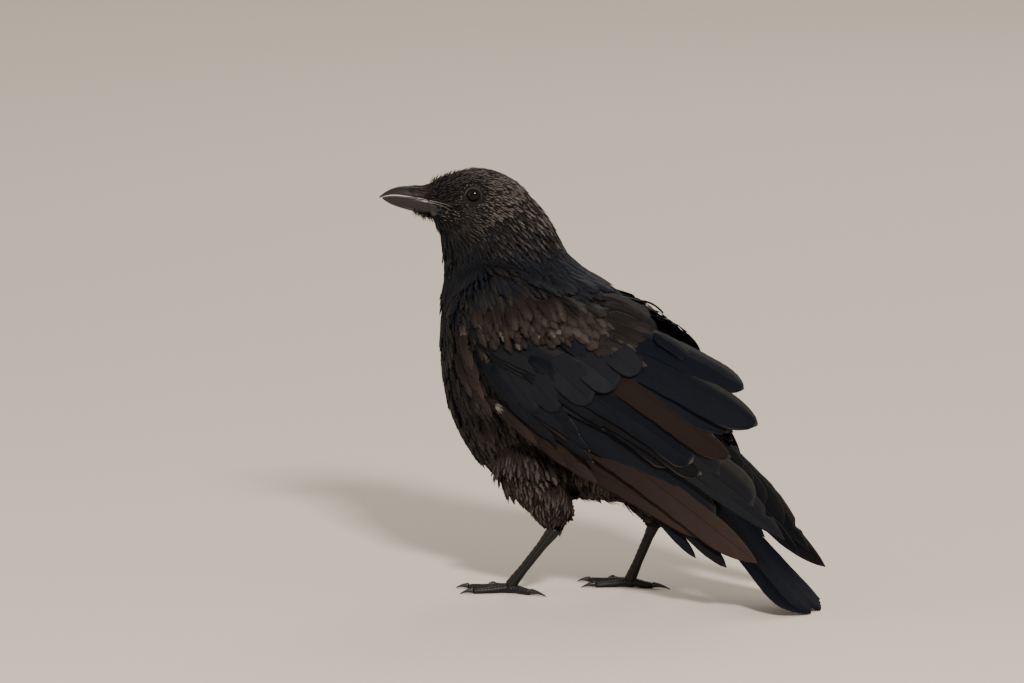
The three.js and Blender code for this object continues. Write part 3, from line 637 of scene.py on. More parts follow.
def build_skin():
    """One skin over head, neck, trunk, thighs and wings, inside their solids by the coat's depth."""
    mesh = finished(joined_flesh(), [
        ("merge", "WELD", {"merge_threshold": 1e-5}),
        ("swell", "DISPLACE", {"strength": SKIN_SWELL * MM, "mid_level": 0.0}),
        ("fuse", "REMESH", {"mode": "VOXEL", "voxel_size": SKIN_VOXEL * MM}),
        ("soften", "SMOOTH", {"factor": 0.5, "iterations": 10}),
    ])
    points, normals = to_bird(triples(mesh.vertices, "co")), triples(mesh.vertex_normals, "vector")
    lie, size, region = groom(points, normals)
    depth = np.array([COAT_DEPTH.get(name, BODY_COAT_DEPTH) for name in REGIONS])[region] + SKIN_SWELL
    for _ in range(6):
        depth = spread(mesh, depth)
    points = points - normals * depth[:, None]
    mesh.vertices.foreach_set("co", to_frame(points).ravel())
    mesh.update()
    coated = ~bare_places(points, normals, region)
    for name, value in zip(("length", "stand", "worn", "frost"), size.T * [[MM], [math.pi / 180], [1], [1]]):
        store(mesh, name, value)
    for number, name in enumerate(REGIONS):
        store(mesh, name, (region == number) & coated)
    store(mesh, "lie", lie, "FLOAT_VECTOR")
    skin = stand("skin", mesh)
    unwrap(skin)
    mesh.materials.clear()
    mesh.materials.append(SKIN)
    mesh.shade_smooth()
    return skin


def spread(mesh, values):
    """Averages a value over each vertex and its neighbours."""
    edges = np.empty(len(mesh.edges) * 2, int)
    mesh.edges.foreach_get("vertices", edges)
    a, b = edges.reshape(-1, 2).T
    total, count = values.copy(), np.ones(len(values))
    for start, end in ((a, b), (b, a)):
        np.add.at(total, start, values[end])
        np.add.at(count, start, 1)
    return total / count


def unwrap(piece):
    """Lays the piece's own surface out flat as its bake map."""
    bpy.context.view_layer.objects.active = piece
    piece.select_set(True)
    piece.data.uv_layers.new(name="OFBake")
    bpy.ops.object.mode_set(mode="EDIT")
    bpy.ops.mesh.select_all(action="SELECT")
    bpy.ops.uv.smart_project(angle_limit=math.radians(66), island_margin=0.002)
    bpy.ops.object.mode_set(mode="OBJECT")
    piece.select_set(False)


# ---- small feathers ---------------------------------------------------------------------------

TUFT_PATCH = 0.003  # width of a tuft's patch on the skin's map
FEATHER_KINDS = {
    "fine_feathers": dict(width=0.30, teeth=3, droop=0.10, raggedness=0.3),
    "neck_feathers": dict(width=0.40, teeth=4, droop=0.12, raggedness=0.45, slim=0.3),
    "thigh_feathers": dict(width=0.40, teeth=5, droop=0.12, raggedness=0.3, slim=0.3),
    "body_feathers": dict(width=0.66, teeth=6, droop=0.14, raggedness=0.3),
    "scale_feathers": dict(width=0.72, teeth=6, droop=0.10, raggedness=0.16, slim=0.2),
}
FEATHER_CUP = 0.22  # how far a small feather's edges droop, as a share of their reach
DOWN_STEPS = (0.0, 0.4, 0.75, 1.0)


def pattern(name, heap):
    """A shape to be strewn: it stays out of the scene, and its own map becomes its place on its patch."""
    mesh = heap.mesh(name, shift=False)
    mesh.uv_layers["OFBake"].name = "patch"
    return bpy.data.objects.new(name, mesh)


def feather_shape(name, width, teeth, droop, raggedness, seed, slim=0.0):
    """One small feather of unit length along +X: a thin closed leaf with a toothed edge."""
    dice = random.Random(seed)
    heap = Heap()
    rings, along, across = [], [], []
    rows = teeth * 2 + 1
    for r in range(rows):
        t = r / (rows - 1)
        tooth = r % 2 == 0
        half = width / 2 * math.sin(math.pi * min(1.0, 0.12 + 0.88 * t ** (0.8 + slim)) ** 1.1) ** 0.6
        half = max(half, 0.015) if t < 0.99 else 0.008
        notch = 1.0 if tooth else 1.0 - raggedness * dice.uniform(0.5, 1.0)
        edge = t + (0.0 if tooth else -0.5 / rows) * raggedness + 0.04 * tooth
        bend = droop * t * t
        left, right = half * notch * dice.uniform(0.85, 1.1), half * notch * dice.uniform(0.85, 1.1)
        thick = 0.02 * (1 - t) + 0.006
        skew = dice.uniform(-0.02, 0.02)
        rings.append([
            (edge, -left, -bend - FEATHER_CUP * left),
            (t, skew, -bend + thick),
            (edge, right, -bend - FEATHER_CUP * right),
            (t, skew, -bend - thick),
        ])
        along.append([t] * 4)
        across.append([-1, 0, 1, 0])
    heap.loft(rings, along=np.array(along), across=np.array(across))
    return pattern(name, heap)


def down_shape(name, seed, strands=6):
    """A loose tuft of fine downy strands of about unit length."""
    dice = random.Random(seed)
    heap = Heap(strands)
    for _ in range(strands):
        side, rise, reach = dice.uniform(-0.3, 0.3), dice.uniform(-0.02, 0.16), dice.uniform(0.6, 1.0)
        curl = dice.uniform(-0.16, 0.16)
        rings = []
        for t in DOWN_STEPS:
            r = 0.022 * (1 - t) + 0.003
            x, y, z = reach * t, side * t + curl * t * t, rise * t - 0.12 * t * t
            rings.append([(x, y - r, z - r * 0.6), (x, y + r, z - r * 0.6), (x, y, z + r)])
        heap.loft(rings, along=np.array(DOWN_STEPS), across=0.4)
    return pattern(name, heap)


def shelf(name, objects):
    """A collection that is kept out of the scene, for shapes that are repeated."""
    collection = bpy.data.collections.new(name)
    for item in objects:
        collection.objects.link(item)
    return collection


def feather_shelves():
    """Five feathers of each kind and four tufts of down, to be drawn from at random."""
    shelves = {"down": shelf("down", [down_shape(f"down_{i}", seed=7 * i + 1) for i in range(4)])}
    for kind, sizes in FEATHER_KINDS.items():
        shelves[kind] = shelf(kind, [feather_shape(f"{kind}_{i}", seed=11 * i + 3, **sizes) for i in range(5)])
    return shelves


PLUMAGE_INPUTS = {
    "Skin": "Geometry", "Feathers": "Collection", "Region": "String", "Spacing": "Float", "Crowding": "Float",
    "Stand": "Float", "Scale": "Float", "Disorder": "Float", "Seed": "Int", "Finish": "Material",
}
KEPT_LAYERS = {"OFBake", "along", "across", "worn", "frost", "chance"}


def plumage_tree():
    """Strews feathers over a region of the skin, each laid along the skin's lie and lifted at its tip."""
    tree = bpy.data.node_groups.new("plumage", "GeometryNodeTree")
    for name, kind in PLUMAGE_INPUTS.items():
        tree.interface.new_socket(name, in_out="INPUT", socket_type="NodeSocket" + kind)
    tree.interface.new_socket("Coat", in_out="OUTPUT", socket_type="NodeSocketGeometry")
    graph = Graph(tree)
    given = graph.node("NodeGroupInput").output

    def named(name, kind="FLOAT"):
        return graph.node("GeometryNodeInputNamedAttribute", {"data_type": kind}, {"Name": name})

    def stored(geometry, name, value, kind="FLOAT", domain="INSTANCE"):
        settings = {"data_type": kind, "domain": domain}
        values = {"Geometry": geometry, "Name": name, "Value": value}
        return graph.node("GeometryNodeStoreNamedAttribute", settings, values)

    def chance(low, high, salt):
        return graph.node("FunctionNodeRandomValue", {"data_type": "FLOAT"}, {2: low, 3: high, "Seed": salt}, 1)

    def vector_maths(operation, inputs):
        return graph.node("ShaderNodeVectorMath", {"operation": operation}, inputs)

    here = graph.node("FunctionNodeCompare", {"data_type": "FLOAT"}, {"A": named(given("Region")), "B": 0.5})
    places = graph.node("GeometryNodeDistributePointsOnFaces", {"distribute_method": "POISSON"}, {
        "Mesh": given("Skin"), "Selection": here, "Distance Min": given("Spacing"),
        "Density Max": given("Crowding"), "Seed": given("Seed"),
    })
    axes = {"Primary Axis": places.output("Normal"), "Secondary Axis": named("lie", "FLOAT_VECTOR")}
    aim = graph.node("FunctionNodeAxesToRotation", {"primary_axis": "Z", "secondary_axis": "X"}, axes)
    lift = 0.0 - (named("stand") * given("Stand") * chance(0.6, 1.4, 1))
    roll, veer = chance(-0.5, 0.5, 2) * given("Disorder"), chance(-1.0, 1.0, 3) * given("Disorder")
    turn = graph.node("ShaderNodeCombineXYZ", None, {0: roll, 1: lift, 2: veer})
    tilt = graph.node("FunctionNodeEulerToRotation", None, {0: turn})
    aim = graph.node("FunctionNodeRotateRotation", {"rotation_space": "LOCAL"}, {"Rotation": aim, "Rotate By": tilt})
    shelf_items = {"Collection": given("Feathers"), "Separate Children": True, "Reset Children": True}
    shapes = graph.node("GeometryNodeCollectionInfo", None, shelf_items)
    which = graph.node("FunctionNodeRandomValue", {"data_type": "INT"}, {4: 0, 5: 9, "Seed": 4}, 2)
    size = named("length") * given("Scale") * chance(0.75, 1.2, 5)
    laid = graph.node("GeometryNodeInstanceOnPoints", None, {
        "Points": places, "Instance": shapes, "Pick Instance": True,
        "Instance Index": which, "Rotation": aim, "Scale": size,
    })
    laid = stored(laid, "root", named("OFBake", "FLOAT_VECTOR"), "FLOAT_VECTOR")
    laid = stored(laid, "chance", chance(0.0, 1.0, 6))
    coat = graph.node("GeometryNodeRealizeInstances", None, {0: laid})
    patch = vector_maths("SCALE", {0: named("patch", "FLOAT_VECTOR"), 3: TUFT_PATCH})
    spot = vector_maths("ADD", {0: named("root", "FLOAT_VECTOR"), 1: patch})
    coat = stored(coat, "OFBake", spot, "FLOAT2", "CORNER")
    coat = graph.node("GeometryNodeSetMaterial", None, {"Geometry": coat, "Material": given("Finish")})
    graph.node("NodeGroupOutput", None, {"Coat": coat})
    return tree


def strewn(tree, skin, name, **inputs):
    """Runs the plumage tree on the skin and keeps its result as a plain piece."""
    coat = stand(name, skin.data)
    modifier = coat.modifiers.new("plumage", "NODES")
    modifier.node_group = tree
    sockets = {s.name: s.identifier for s in tree.interface.items_tree if s.in_out == "INPUT"}
    for key, value in inputs.items():
        modifier[sockets[key]] = value
    mesh = plain_mesh(coat)
    coat.modifiers.clear()
    for layer in [a.name for a in mesh.attributes if not (a.name in KEPT_LAYERS or a.is_internal or a.is_required)]:
        mesh.attributes.remove(mesh.attributes[layer])
    mesh.materials.clear()
    mesh.materials.append(COAT)
    coat.data = mesh
    mesh.name = name
    mesh.shade_smooth()
    return coat


# Each coat: region, kind of feather, spacing, how strongly they stand, their scale and disorder.
COATS = [
    ("coat_face", "face", "fine_feathers", 1.0, 1.0, 1.0, 0.3),
    ("coat_head", "head", "fine_feathers", 1.05, 1.0, 1.0, 0.16),
    ("coat_neck", "neck", "neck_feathers", 2.2, 1.0, 1.15, 0.16),
    ("coat_breast", "breast", "body_feathers", 3.0, 0.9, 1.1, 0.14),
    ("coat_belly", "belly", "body_feathers", 3.7, 1.0, 1.1, 0.2),
    ("coat_back", "back", "scale_feathers", 4.4, 1.0, 1.1, 0.1),
    ("coat_shoulders", "shoulder", "body_feathers", 2.9, 0.9, 1.15, 0.1),
    ("coat_wrists", "wrist", "scale_feathers", 3.2, 1.0, 1.0, 0.12),
    ("coat_thighs", "thigh", "thigh_feathers", 1.9, 1.0, 1.1, 0.14),
    ("down_belly", "belly", "down", 5.0, 1.5, 0.8, 0.4),
    ("down_thighs", "thigh", "down", 4.0, 1.2, 0.8, 0.3),
]
CROWDING = 3e6
FIRST_COAT_SEED = 5


def dress_skin(skin):
    """Every coat of small feathers and down."""
    tree, shelves = plumage_tree(), feather_shelves()
    for seed, (name, region, kind, spacing, lift, scale, disorder) in enumerate(COATS, FIRST_COAT_SEED):
        yield strewn(
            tree, skin, name, Feathers=shelves[kind], Region=region, Spacing=spacing * MM, Crowding=CROWDING,
            Stand=lift, Scale=scale, Disorder=disorder, Seed=seed, Finish=COAT,
        )


# ---- firm feathers ----------------------------------------------------------------------------

VANE_COLUMNS = np.array((-1.0, -0.9, -0.62, -0.3, -0.06, 0.0, 0.06, 0.3, 0.62, 0.9, 1.0))
SHAFT_RIDGE = 0.28
VANE_THICKNESS = 0.32
BARB_SWEEP = 0.75  # how far the barbs run towards the tip, as a share of their reach from the shaft
VANE_LOOK = {"worn": 0.2, "edge": 0.3, "olive": 0.0, "bloom": 0.0, "faded": 0.0, "frost": 0.0}
QUILL_STEPS, COVERT_STEPS = 0.92, 0.9  # powers that set a feather's stations closer together at its tip


def vane_width(t, roundness, blunt, quill=0.12):
    """Half width along a feather, as a share: narrow at the quill, rounded or drawn out at the tip."""
    base = 0.3 + 0.7 * min(1.0, t / quill) ** 0.7
    over = max(0.0, (t - (1 - roundness)) / roundness)
    return base * max(0.04, max(0.0, 1 - over ** (1.3 + 0.9 * blunt)) ** (0.95 - 0.45 * blunt))


def vane(heap, spine, facings, half, lead=0.5, camber=1.2, roundness=0.2, blunt=1.0, splits=2, seed=0, **look):
    """One closed feather along a spine: a ridged shaft, cambered webs and a few parted barbs."""
    dice = random.Random(seed)
    spine, facings = np.asarray(spine, float), np.asarray(facings, float)
    rows = len(spine)
    reach = np.concatenate([[0], np.cumsum(np.linalg.norm(np.diff(spine, axis=0), axis=1))])
    tangents = np.gradient(spine, axis=0)
    columns = VANE_COLUMNS
    gaps = {}
    for _ in range(splits):
        gaps[dice.randrange(rows // 3, rows - 2)] = (dice.choice((-1, 1)), dice.uniform(0.45, 0.8))
    rings, across_rows = [], []
    for r in range(rows):
        t = r / (rows - 1)
        ahead = unit(tangents[r])
        up = unit(facings[r] - ahead * (facings[r] @ ahead))
        side = np.cross(ahead, up)
        if side[2] < 0:
            side = -side
        width = half * vane_width(t, roundness, blunt)
        shares = np.where(columns < 0, 2 * lead, 2 * (1 - lead)) * width
        if r in gaps:
            cut_side, cut = gaps[r]
            shares = np.where(columns * cut_side > 0.5, shares * cut, shares)
        shares = shares * (1 + dice.uniform(-0.02, 0.02))
        sweep = BARB_SWEEP * (1 - t ** 5) * min(1.0, 4 * t)
        out = columns * shares
        top = -camber * columns ** 2 + SHAFT_RIDGE * (columns == 0) * (1 - t)
        thick = VANE_THICKNESS * (1 - columns ** 2)
        line = spine[r] + np.outer(out, side) + np.outer(np.abs(out) * sweep, ahead)
        upper = line + np.outer(top, up)
        lower = (line + np.outer(top - thick, up))[1:-1][::-1]
        rings.append(np.concatenate([upper, lower]))
        across_rows.append(np.concatenate([columns, columns[1:-1][::-1]]))
    values = {**VANE_LOOK, "chance": dice.random(), **look}
    heap.loft(rings, along=np.linspace(0, 1, rows), across=np.array(across_rows), reach=reach, **values)


def feather_line(root, tip, facing, bow, arch, places):
    """A feather's spine and the way it faces. Bow lifts its middle that way, arch towards the bird's back."""
    root, tip = np.asarray(root, float), np.asarray(tip, float)
    chord = tip - root
    lift = unit(facing - chord * (facing @ chord) / (chord @ chord))
    side = unit(np.cross(chord, lift))
    side = side if side[2] >= 0 else -side
    return np.array([root + chord * t + (lift * bow + side * arch) * 4 * t * (1 - t) for t in places]), lift


def straight_vane(heap, root, tip, facing, half, bow=0.0, stations=26, **look):
    """A feather that lies free of the folded arm."""
    spine, lift = feather_line(root, tip, unit(facing), bow, 0.0, np.linspace(0, 1, stations) ** QUILL_STEPS)
    vane(heap, spine, [lift] * stations, half, **look)


def hair_ring(centre, way, upright, radius, t):
    """Three points round a hair, at a share of its length: it tapers to its tip."""
    side = unit(np.cross(way, upright))
    over = np.cross(side, way)
    r = radius * (1 - 0.85 * t)
    back = centre - side * r * 0.5
    return [centre + side * r, back + over * r * 0.87, back - over * r * 0.87]


def strand(heap, start, way, length, radius, droop, stations=5):
    """A fine closed strand that bends by its droop."""
    steps = np.linspace(0, 1, stations)
    places = [(t, np.asarray(start) + way * length * t + np.asarray(droop) * t * t) for t in steps]
    heap.loft([hair_ring(place, way, (0.3, 0.2, 0.9), radius, t) for t, place in places], along=steps)


def path_strand(heap, points, radius, first=0.0, **look):
    """A fine closed strand along given points."""
    points = np.asarray(points)
    last = len(points) - 1
    ways = np.gradient(points, axis=0)
    rings = [hair_ring(points[i], unit(ways[i]), (0.1, 0.35, 0.9), radius, i / last) for i in range(last + 1)]
    heap.loft(rings, along=np.linspace(first, 1, last + 1), **look)


# ---- wings ------------------------------------------------------------------------------------

# Each folded wing: where the bend and the hand's tip lie in side view, then its primaries from the
# lowest up: length, degrees below the level, how worn, how olive; the painted sheen and the bleaching
# of its long quills; tertials: root and tip as x, z and out, half width, roll, worn, olive.
WINGS = {
    "left": {
        "side": LEFT, "bend": (-13, 191), "hand_tip": (35, 152),
        "length": (203, 206, 210, 221, 243, 223, 198, 168),
        "drop": (24.6, 24.4, 25.2, 25.3, 27, 32.6, 37.6, 41.6),
        "worn": (0.35, 0.3, 0.4, 0.35, 0.2, 1.0, 0.25, 0.15),
        "olive": (0.3, 0.35, 0.45, 0.4, 0.15, 0.05, 0.0, 0.0), "bloom": 0.7, "faded": 0.5,
        "tertials": [
            ((34, 203, 49), (188, 113, 40), 9.5, 22, 0.95, 0.05),
            ((40, 200, 47), (186, 131, 37), 12.5, 29, 0.05, 0.1),
            ((46, 202, 43), (205, 136.5, 31), 13.6, 36, 0.05, 0.5),
            ((55, 207, 34.5), (189, 159.5, 21), 11.4, 52, 0.05, 0.5),
            ((66, 208, 29), (149, 180, 28.5), 5.8, 58, 0.1, 0.3),
        ],
    },
    "right": {
        "side": RIGHT, "bend": (-9, 191), "hand_tip": (39, 152),
        "length": (196, 200, 206, 217, 234, 239, 210, 174),
        "drop": (34, 34.8, 35.3, 35.4, 34.8, 34.2, 35.8, 38.2),
        "worn": (0.2, 0.2, 0.25, 0.2, 0.15, 0.2, 0.2, 0.15),
        # The far wing's stronger painted sheen lightens it where it lies in shade.
        "olive": (0.2, 0.2, 0.2, 0.2, 0.6, 0.6, 0.1, 0.1), "bloom": 1.3, "faded": 0.1,
        "tertials": [
            ((34, 203, 49.5), (154, 98, 44.5), 12, 18, 0.2, 0.1),
            ((40, 200, 47), (150, 110, 38), 10, 29, 0.1, 0.1),
            ((46, 202, 43), (152, 117, 34), 12.6, 36, 0.1, 0.5),
            ((55, 204, 33), (148, 142, 22), 12, 52, 0.1, 0.5),
            ((62, 205, 23), (124, 162, 13), 8, 66, 0.1, 0.1),
        ],
    },
}
# The primaries from the lowest up: half width, shape of the tip, share of the width below the shaft.
PRIMARY_HALF, PRIMARY_WIDEN = (12, 12, 12, 12, 11.5, 10.4, 6.0, 4.2), 1.03
PRIMARY_TIP = ((0.1, 1.0), (0.1, 1.0), (0.11, 0.95), (0.14, 0.8), (0.3, 0.35), (0.24, 0.5), (0.16, 0.6), (0.16, 0.6))
PRIMARY_LEAD = (0.42, 0.4, 0.38, 0.36, 0.36, 0.6, 0.45, 0.5)
PRIMARY_SLIP = (0, 0, 0, 0, 0.5, 3, 2.5, 1.5)  # how far a primary lies below the even fan
PRIMARY_OUT = (50, 43)  # root and tip of the first primary, out from the middle plane
LONG_PRIMARIES = 5  # the painted sheen lies on these; the next one is bleached
LAYER = 0.55  # how far each feather of a fan lies under the one before
PRIMARY_ROLL, PRIMARY_BOW = 12, 3
SECONDARY_ROLL, SECONDARY_ARCH = 16, 5
PRIMARY_ARCH = (9, 9, 9, 9, 8, 1.5, 3, 4)
TERTIAL_BOW, TERTIAL_ARCH = 6, 2.5
# How far the feathers of a kind lie from the folded arm's surface, and how much less the next one does.
PRIMARY_PROUD, SECONDARY_PROUD, PROUD_STEP = -0.5, 0.3, 0.2
# Secondaries between the tertials and the primaries: root, tip, half width, worn, olive.
SECONDARIES = {
    LEFT: [
        ((30, 199, 50), (176, 121, 42), 8.6, 0.9, 0.1),
        ((24, 180, 54.2), (161, 108, 45.8), 12.5, 0.08, 0.25),
        ((18, 176, 53), (146, 106, 45), 12, 0.15, 0.2),
        ((10, 178, 52.5), (168, 100, 44.5), 12.5, 0.3, 0.4),
    ],
    RIGHT: [
        ((30, 199, 51), (144, 112, 43), 12, 0.6, 0.1),
        ((24, 180, 53.5), (138, 104, 45), 12.5, 0.1, 0.2),
        ((18, 176, 53), (136, 99, 45), 12.5, 0.15, 0.2),
        ((10, 178, 52.5), (150, 92, 44.5), 12.5, 0.3, 0.3),
    ],
}
SHORT_PRIMARY = ((8, 166, 47.2), (177, 69, 41.2), 12.5, 0.05, 0.2)
LOWER_EDGE = ((46, 117.5, 50), (170, 57, 43.0), 8.0, 1.0, 0.0)  # the brown edge that runs on from the eighth primary
# For each tertial: the share hidden under the scapulars, and how much of it lies below its shaft.
TERTIAL_START, TERTIAL_LEAD = (0.3, 0.1, 0.12, 0.3, 0.66), (0.68, 0.5, 0.62, 0.58, 0.5)
TERTIAL_PROUD = (0.4, 1.2, 1.4, 1.5, 1.7)

# The folded arm's surface: it drops towards the tail and curves in over the back.
ARM_ORIGIN, ARM_DROP = (0.0, 180.0), math.radians(35)
ARM_WIDEST, ARM_FULL = 60.0, 35.0  # how far out it lies, and from where along it does
ARM_FRONT_FALL, ARM_FRONT, ARM_FRONT_CURVE = 22.0, 85, 2.2  # it lies less far out towards its front
ARM_CREST, ARM_RISE, ARM_FLANK, ARM_FLANK_RISE = 66.0, 0.12, 5.0, 0.06
ARM_SQUARENESS, ARM_TOP = 2.3, 0.995
ARM_END, ARM_FADE = 92.0, 26.0


def facing_of(side, roll):
    """The way a wing feather faces, rolled up from straight outwards by so many degrees."""
    roll = math.radians(roll)
    return np.array([0, side * math.cos(roll), math.sin(roll)])


def wing_point(side, place):
    """A place given as x, z and out, on this side of the bird."""
    x, z, out = place
    return (x, side * out, z)


def wing_frame(x, z):
    """How far along and across the folded arm a place of its side view lies."""
    dx, dz = x - ARM_ORIGIN[0], z - ARM_ORIGIN[1]
    return dx * math.cos(ARM_DROP) - dz * math.sin(ARM_DROP), dx * math.sin(ARM_DROP) + dz * math.cos(ARM_DROP)


def wing_out(x, z):
    """How far out the folded wing's surface lies at a place of its side view."""
    along, across = wing_frame(x, z)
    along = min(along, ARM_END)
    widest = ARM_WIDEST - ARM_FRONT_FALL * max(0.0, (ARM_FULL - along) / ARM_FRONT) ** ARM_FRONT_CURVE
    crest, flank = ARM_CREST + ARM_RISE * along, ARM_FLANK + ARM_FLANK_RISE * along
    rise = min(ARM_TOP, max(0.0, (across - flank) / (crest - flank)))
    return widest * (1 - rise ** ARM_SQUARENESS) ** (1 / ARM_SQUARENESS)


def on_wing(side, x, z, proud=0.0):
    """A place on the wing's surface and the way that the surface looks there."""
    step = 2.0
    slope_x = (wing_out(x + step, z) - wing_out(x - step, z)) / (2 * step)
    slope_z = (wing_out(x, z + step) - wing_out(x, z - step)) / (2 * step)
    normal = unit((-slope_x, side, -slope_z))
    return np.array([x, side * wing_out(x, z), z]) + normal * proud, normal


def wing_line(side, places):
    """A line on the wing's surface through places x, z, proud, and the way that it faces at each."""
    return zip(*(on_wing(side, *place) for place in places))


def risen(t, start, span, proud):
    """How proud a soft feather lies: its root is sunk, its tip lies free."""
    return float(lerp(COVERT_SINK, proud, clamp((t - start) / span)))


def folded_out(x, z, own, proud):
    """How far out a flight feather lies: on the arm first, easing in to its own line behind it."""
    past = max(0.0, wing_frame(x, z)[0] - ARM_END)
    return own + max(0.0, wing_out(x, z) + proud - own) * math.exp(-past / ARM_FADE)


def laid_vane(heap, side, root, tip, roll, half, proud, bow=0.0, arch=0.0, stations=30, start=0.0, **look):
    """A feather that lies on the folded arm and runs on behind it."""
    places = start + (1 - start) * np.linspace(0, 1, stations) ** QUILL_STEPS
    ends = wing_point(side, root), wing_point(side, tip)
    spine, lift = feather_line(*ends, facing_of(side, roll), bow, arch, places)
    spine[:, 1] = [side * folded_out(x, z, side * y, proud) for x, y, z in spine]
    for _ in range(5):
        spine[1:-1, 1] = (spine[:-2, 1] + 2 * spine[1:-1, 1] + spine[2:, 1]) / 4
    vane(heap, spine, [lift] * stations, half, **look)


def primaries(heap, wing):
    """The fan of the hand's quills, the lowest first."""
    last = len(wing["length"]) - 1
    for i, (length, drop) in enumerate(zip(wing["length"], wing["drop"])):
        x, z = lerp(wing["bend"], wing["hand_tip"], i / last)
        drop = math.radians(drop)
        z -= PRIMARY_SLIP[i]
        root = (x, z, PRIMARY_OUT[0] - LAYER * i)
        tip = (x + length * math.cos(drop), z - length * math.sin(drop), PRIMARY_OUT[1] - LAYER * i)
        roundness, blunt = PRIMARY_TIP[i]
        long = i < LONG_PRIMARIES
        laid_vane(
            heap, wing["side"], root, tip, PRIMARY_ROLL, PRIMARY_HALF[i] * PRIMARY_WIDEN,
            PRIMARY_PROUD - PROUD_STEP * i, PRIMARY_BOW, PRIMARY_ARCH[i], stations=40, lead=PRIMARY_LEAD[i],
            roundness=roundness, blunt=blunt, splits=2 if long else 0, seed=40 + i, camber=0.4,
            worn=wing["worn"][i], olive=wing["olive"][i], edge=0.9 if i < LONG_PRIMARIES - 1 else 0.35,
            bloom=wing["bloom"] if long else 0.2, faded=wing["faded"] if i == LONG_PRIMARIES else 0.0,
        )


def flight_feathers(wing):
    """Primaries, secondaries and tertials of one folded wing."""
    side = wing["side"]
    heap = Heap(20)
    primaries(heap, wing)
    if side == LEFT:
        root, tip, half, worn, olive = SHORT_PRIMARY
        laid_vane(
            heap, side, root, tip, PRIMARY_ROLL, half, PRIMARY_PROUD - 0.6, PRIMARY_BOW, 4, lead=0.56,
            roundness=0.16, splits=1, seed=61, worn=worn, olive=olive, edge=0.9, bloom=0.3,
        )
        root, tip, half, worn, olive = LOWER_EDGE
        laid_vane(
            heap, side, root, tip, PRIMARY_ROLL, half, -0.6, 0, -0.5, roundness=0.2, splits=0, seed=62,
            worn=worn, olive=olive, edge=0.1, bloom=0.0, faded=0.45,
        )
    for i, (root, tip, half, worn, olive) in enumerate(SECONDARIES[side]):
        laid_vane(
            heap, side, root, tip, SECONDARY_ROLL, half, SECONDARY_PROUD - PROUD_STEP * i, PRIMARY_BOW,
            SECONDARY_ARCH, start=0.1 if i else 0.3, lead=0.42 if i else 0.6, roundness=0.14, splits=3,
            seed=70 + i, worn=worn, olive=olive, edge=0.9,
        )
    for i, (root, tip, half, roll, worn, olive) in enumerate(wing["tertials"]):
        laid_vane(
            heap, side, root, tip, roll, half, TERTIAL_PROUD[i], TERTIAL_BOW, TERTIAL_ARCH,
            start=TERTIAL_START[i], lead=TERTIAL_LEAD[i], roundness=0.34, blunt=0.85, camber=1.8, splits=0,
            seed=80 + i, worn=worn, olive=olive, edge=0.5,
        )
    return heap


# Coverts on the wing's surface, by kind. Each: root and tip in side view, half width, how proud the
# tip lies, worn, edge. The later feathers of a kind lie over the earlier ones where they are prouder.
COVERTS = {
    "marginal": [
        ((-27, 172), (-8, 143), 3.4, 0.1, 0.6, 1.4), ((-22, 163), (9, 131), 4.2, 0.3, 0.95, 1.4),
        ((-25, 178), (3, 141), 4.4, 0.9, 0.7, 1.6), ((-27, 186), (-1, 152), 4.8, 1.5, 1.0, 1.6),
        ((-26, 193), (-7, 163), 4.6, 2.1, 0.8, 1.4),
    ],
    "under_edge": [
        ((2, 143), (46, 112), 4.0, -1.6, 1.0, 0.6), ((22, 130), (68, 99), 4.5, -2.0, 0.9, 0.5),
        ((44, 116), (92, 89), 5.0, -2.0, 1.0, 0.2),
    ],
    "alula": [((-6, 168), (62, 113), 5.5, 0.5, 0.15, 0.4), ((-10, 176), (41, 127), 5.5, 0.9, 0.1, 0.5)],
    "primary": [
        ((0, 160), (90, 104), 5.5, -0.6, 0.1, 1.0), ((3, 165), (87, 112), 5.5, -0.3, 0.06, 1.0),
        ((6, 170), (79, 123), 6.5, 0.0, 0.05, 1.0), ((8, 175), (71, 132), 7.0, 0.3, 0.05, 0.3),
    ],
    "greater": [
        ((-6, 190), (46, 137), 8.5, 0.9, 0.08, 0.35), ((8, 191), (63, 139), 10.5, 1.2, 0.05, 0.8),
        ((24, 193), (89, 147), 12.0, 1.5, 0.04, 0.7), ((44, 196), (106, 158), 13.0, 1.8, 0.04, 0.9),
        ((64, 200), (119, 167), 10.0, 3.4, 0.05, 0.9),
    ],
}
COVERT_SINK, COVERT_ARCH = -2.6, np.array([0.4, 0.9])  # how deep a root lies; how its middle is carried over
COVERT_STATIONS, WIDE_COVERT, SPLIT_COVERT = 18, 8, 6

STRAY_FEATHER = ((76, 206.5, -25), (101, 200, -27), 0.9)


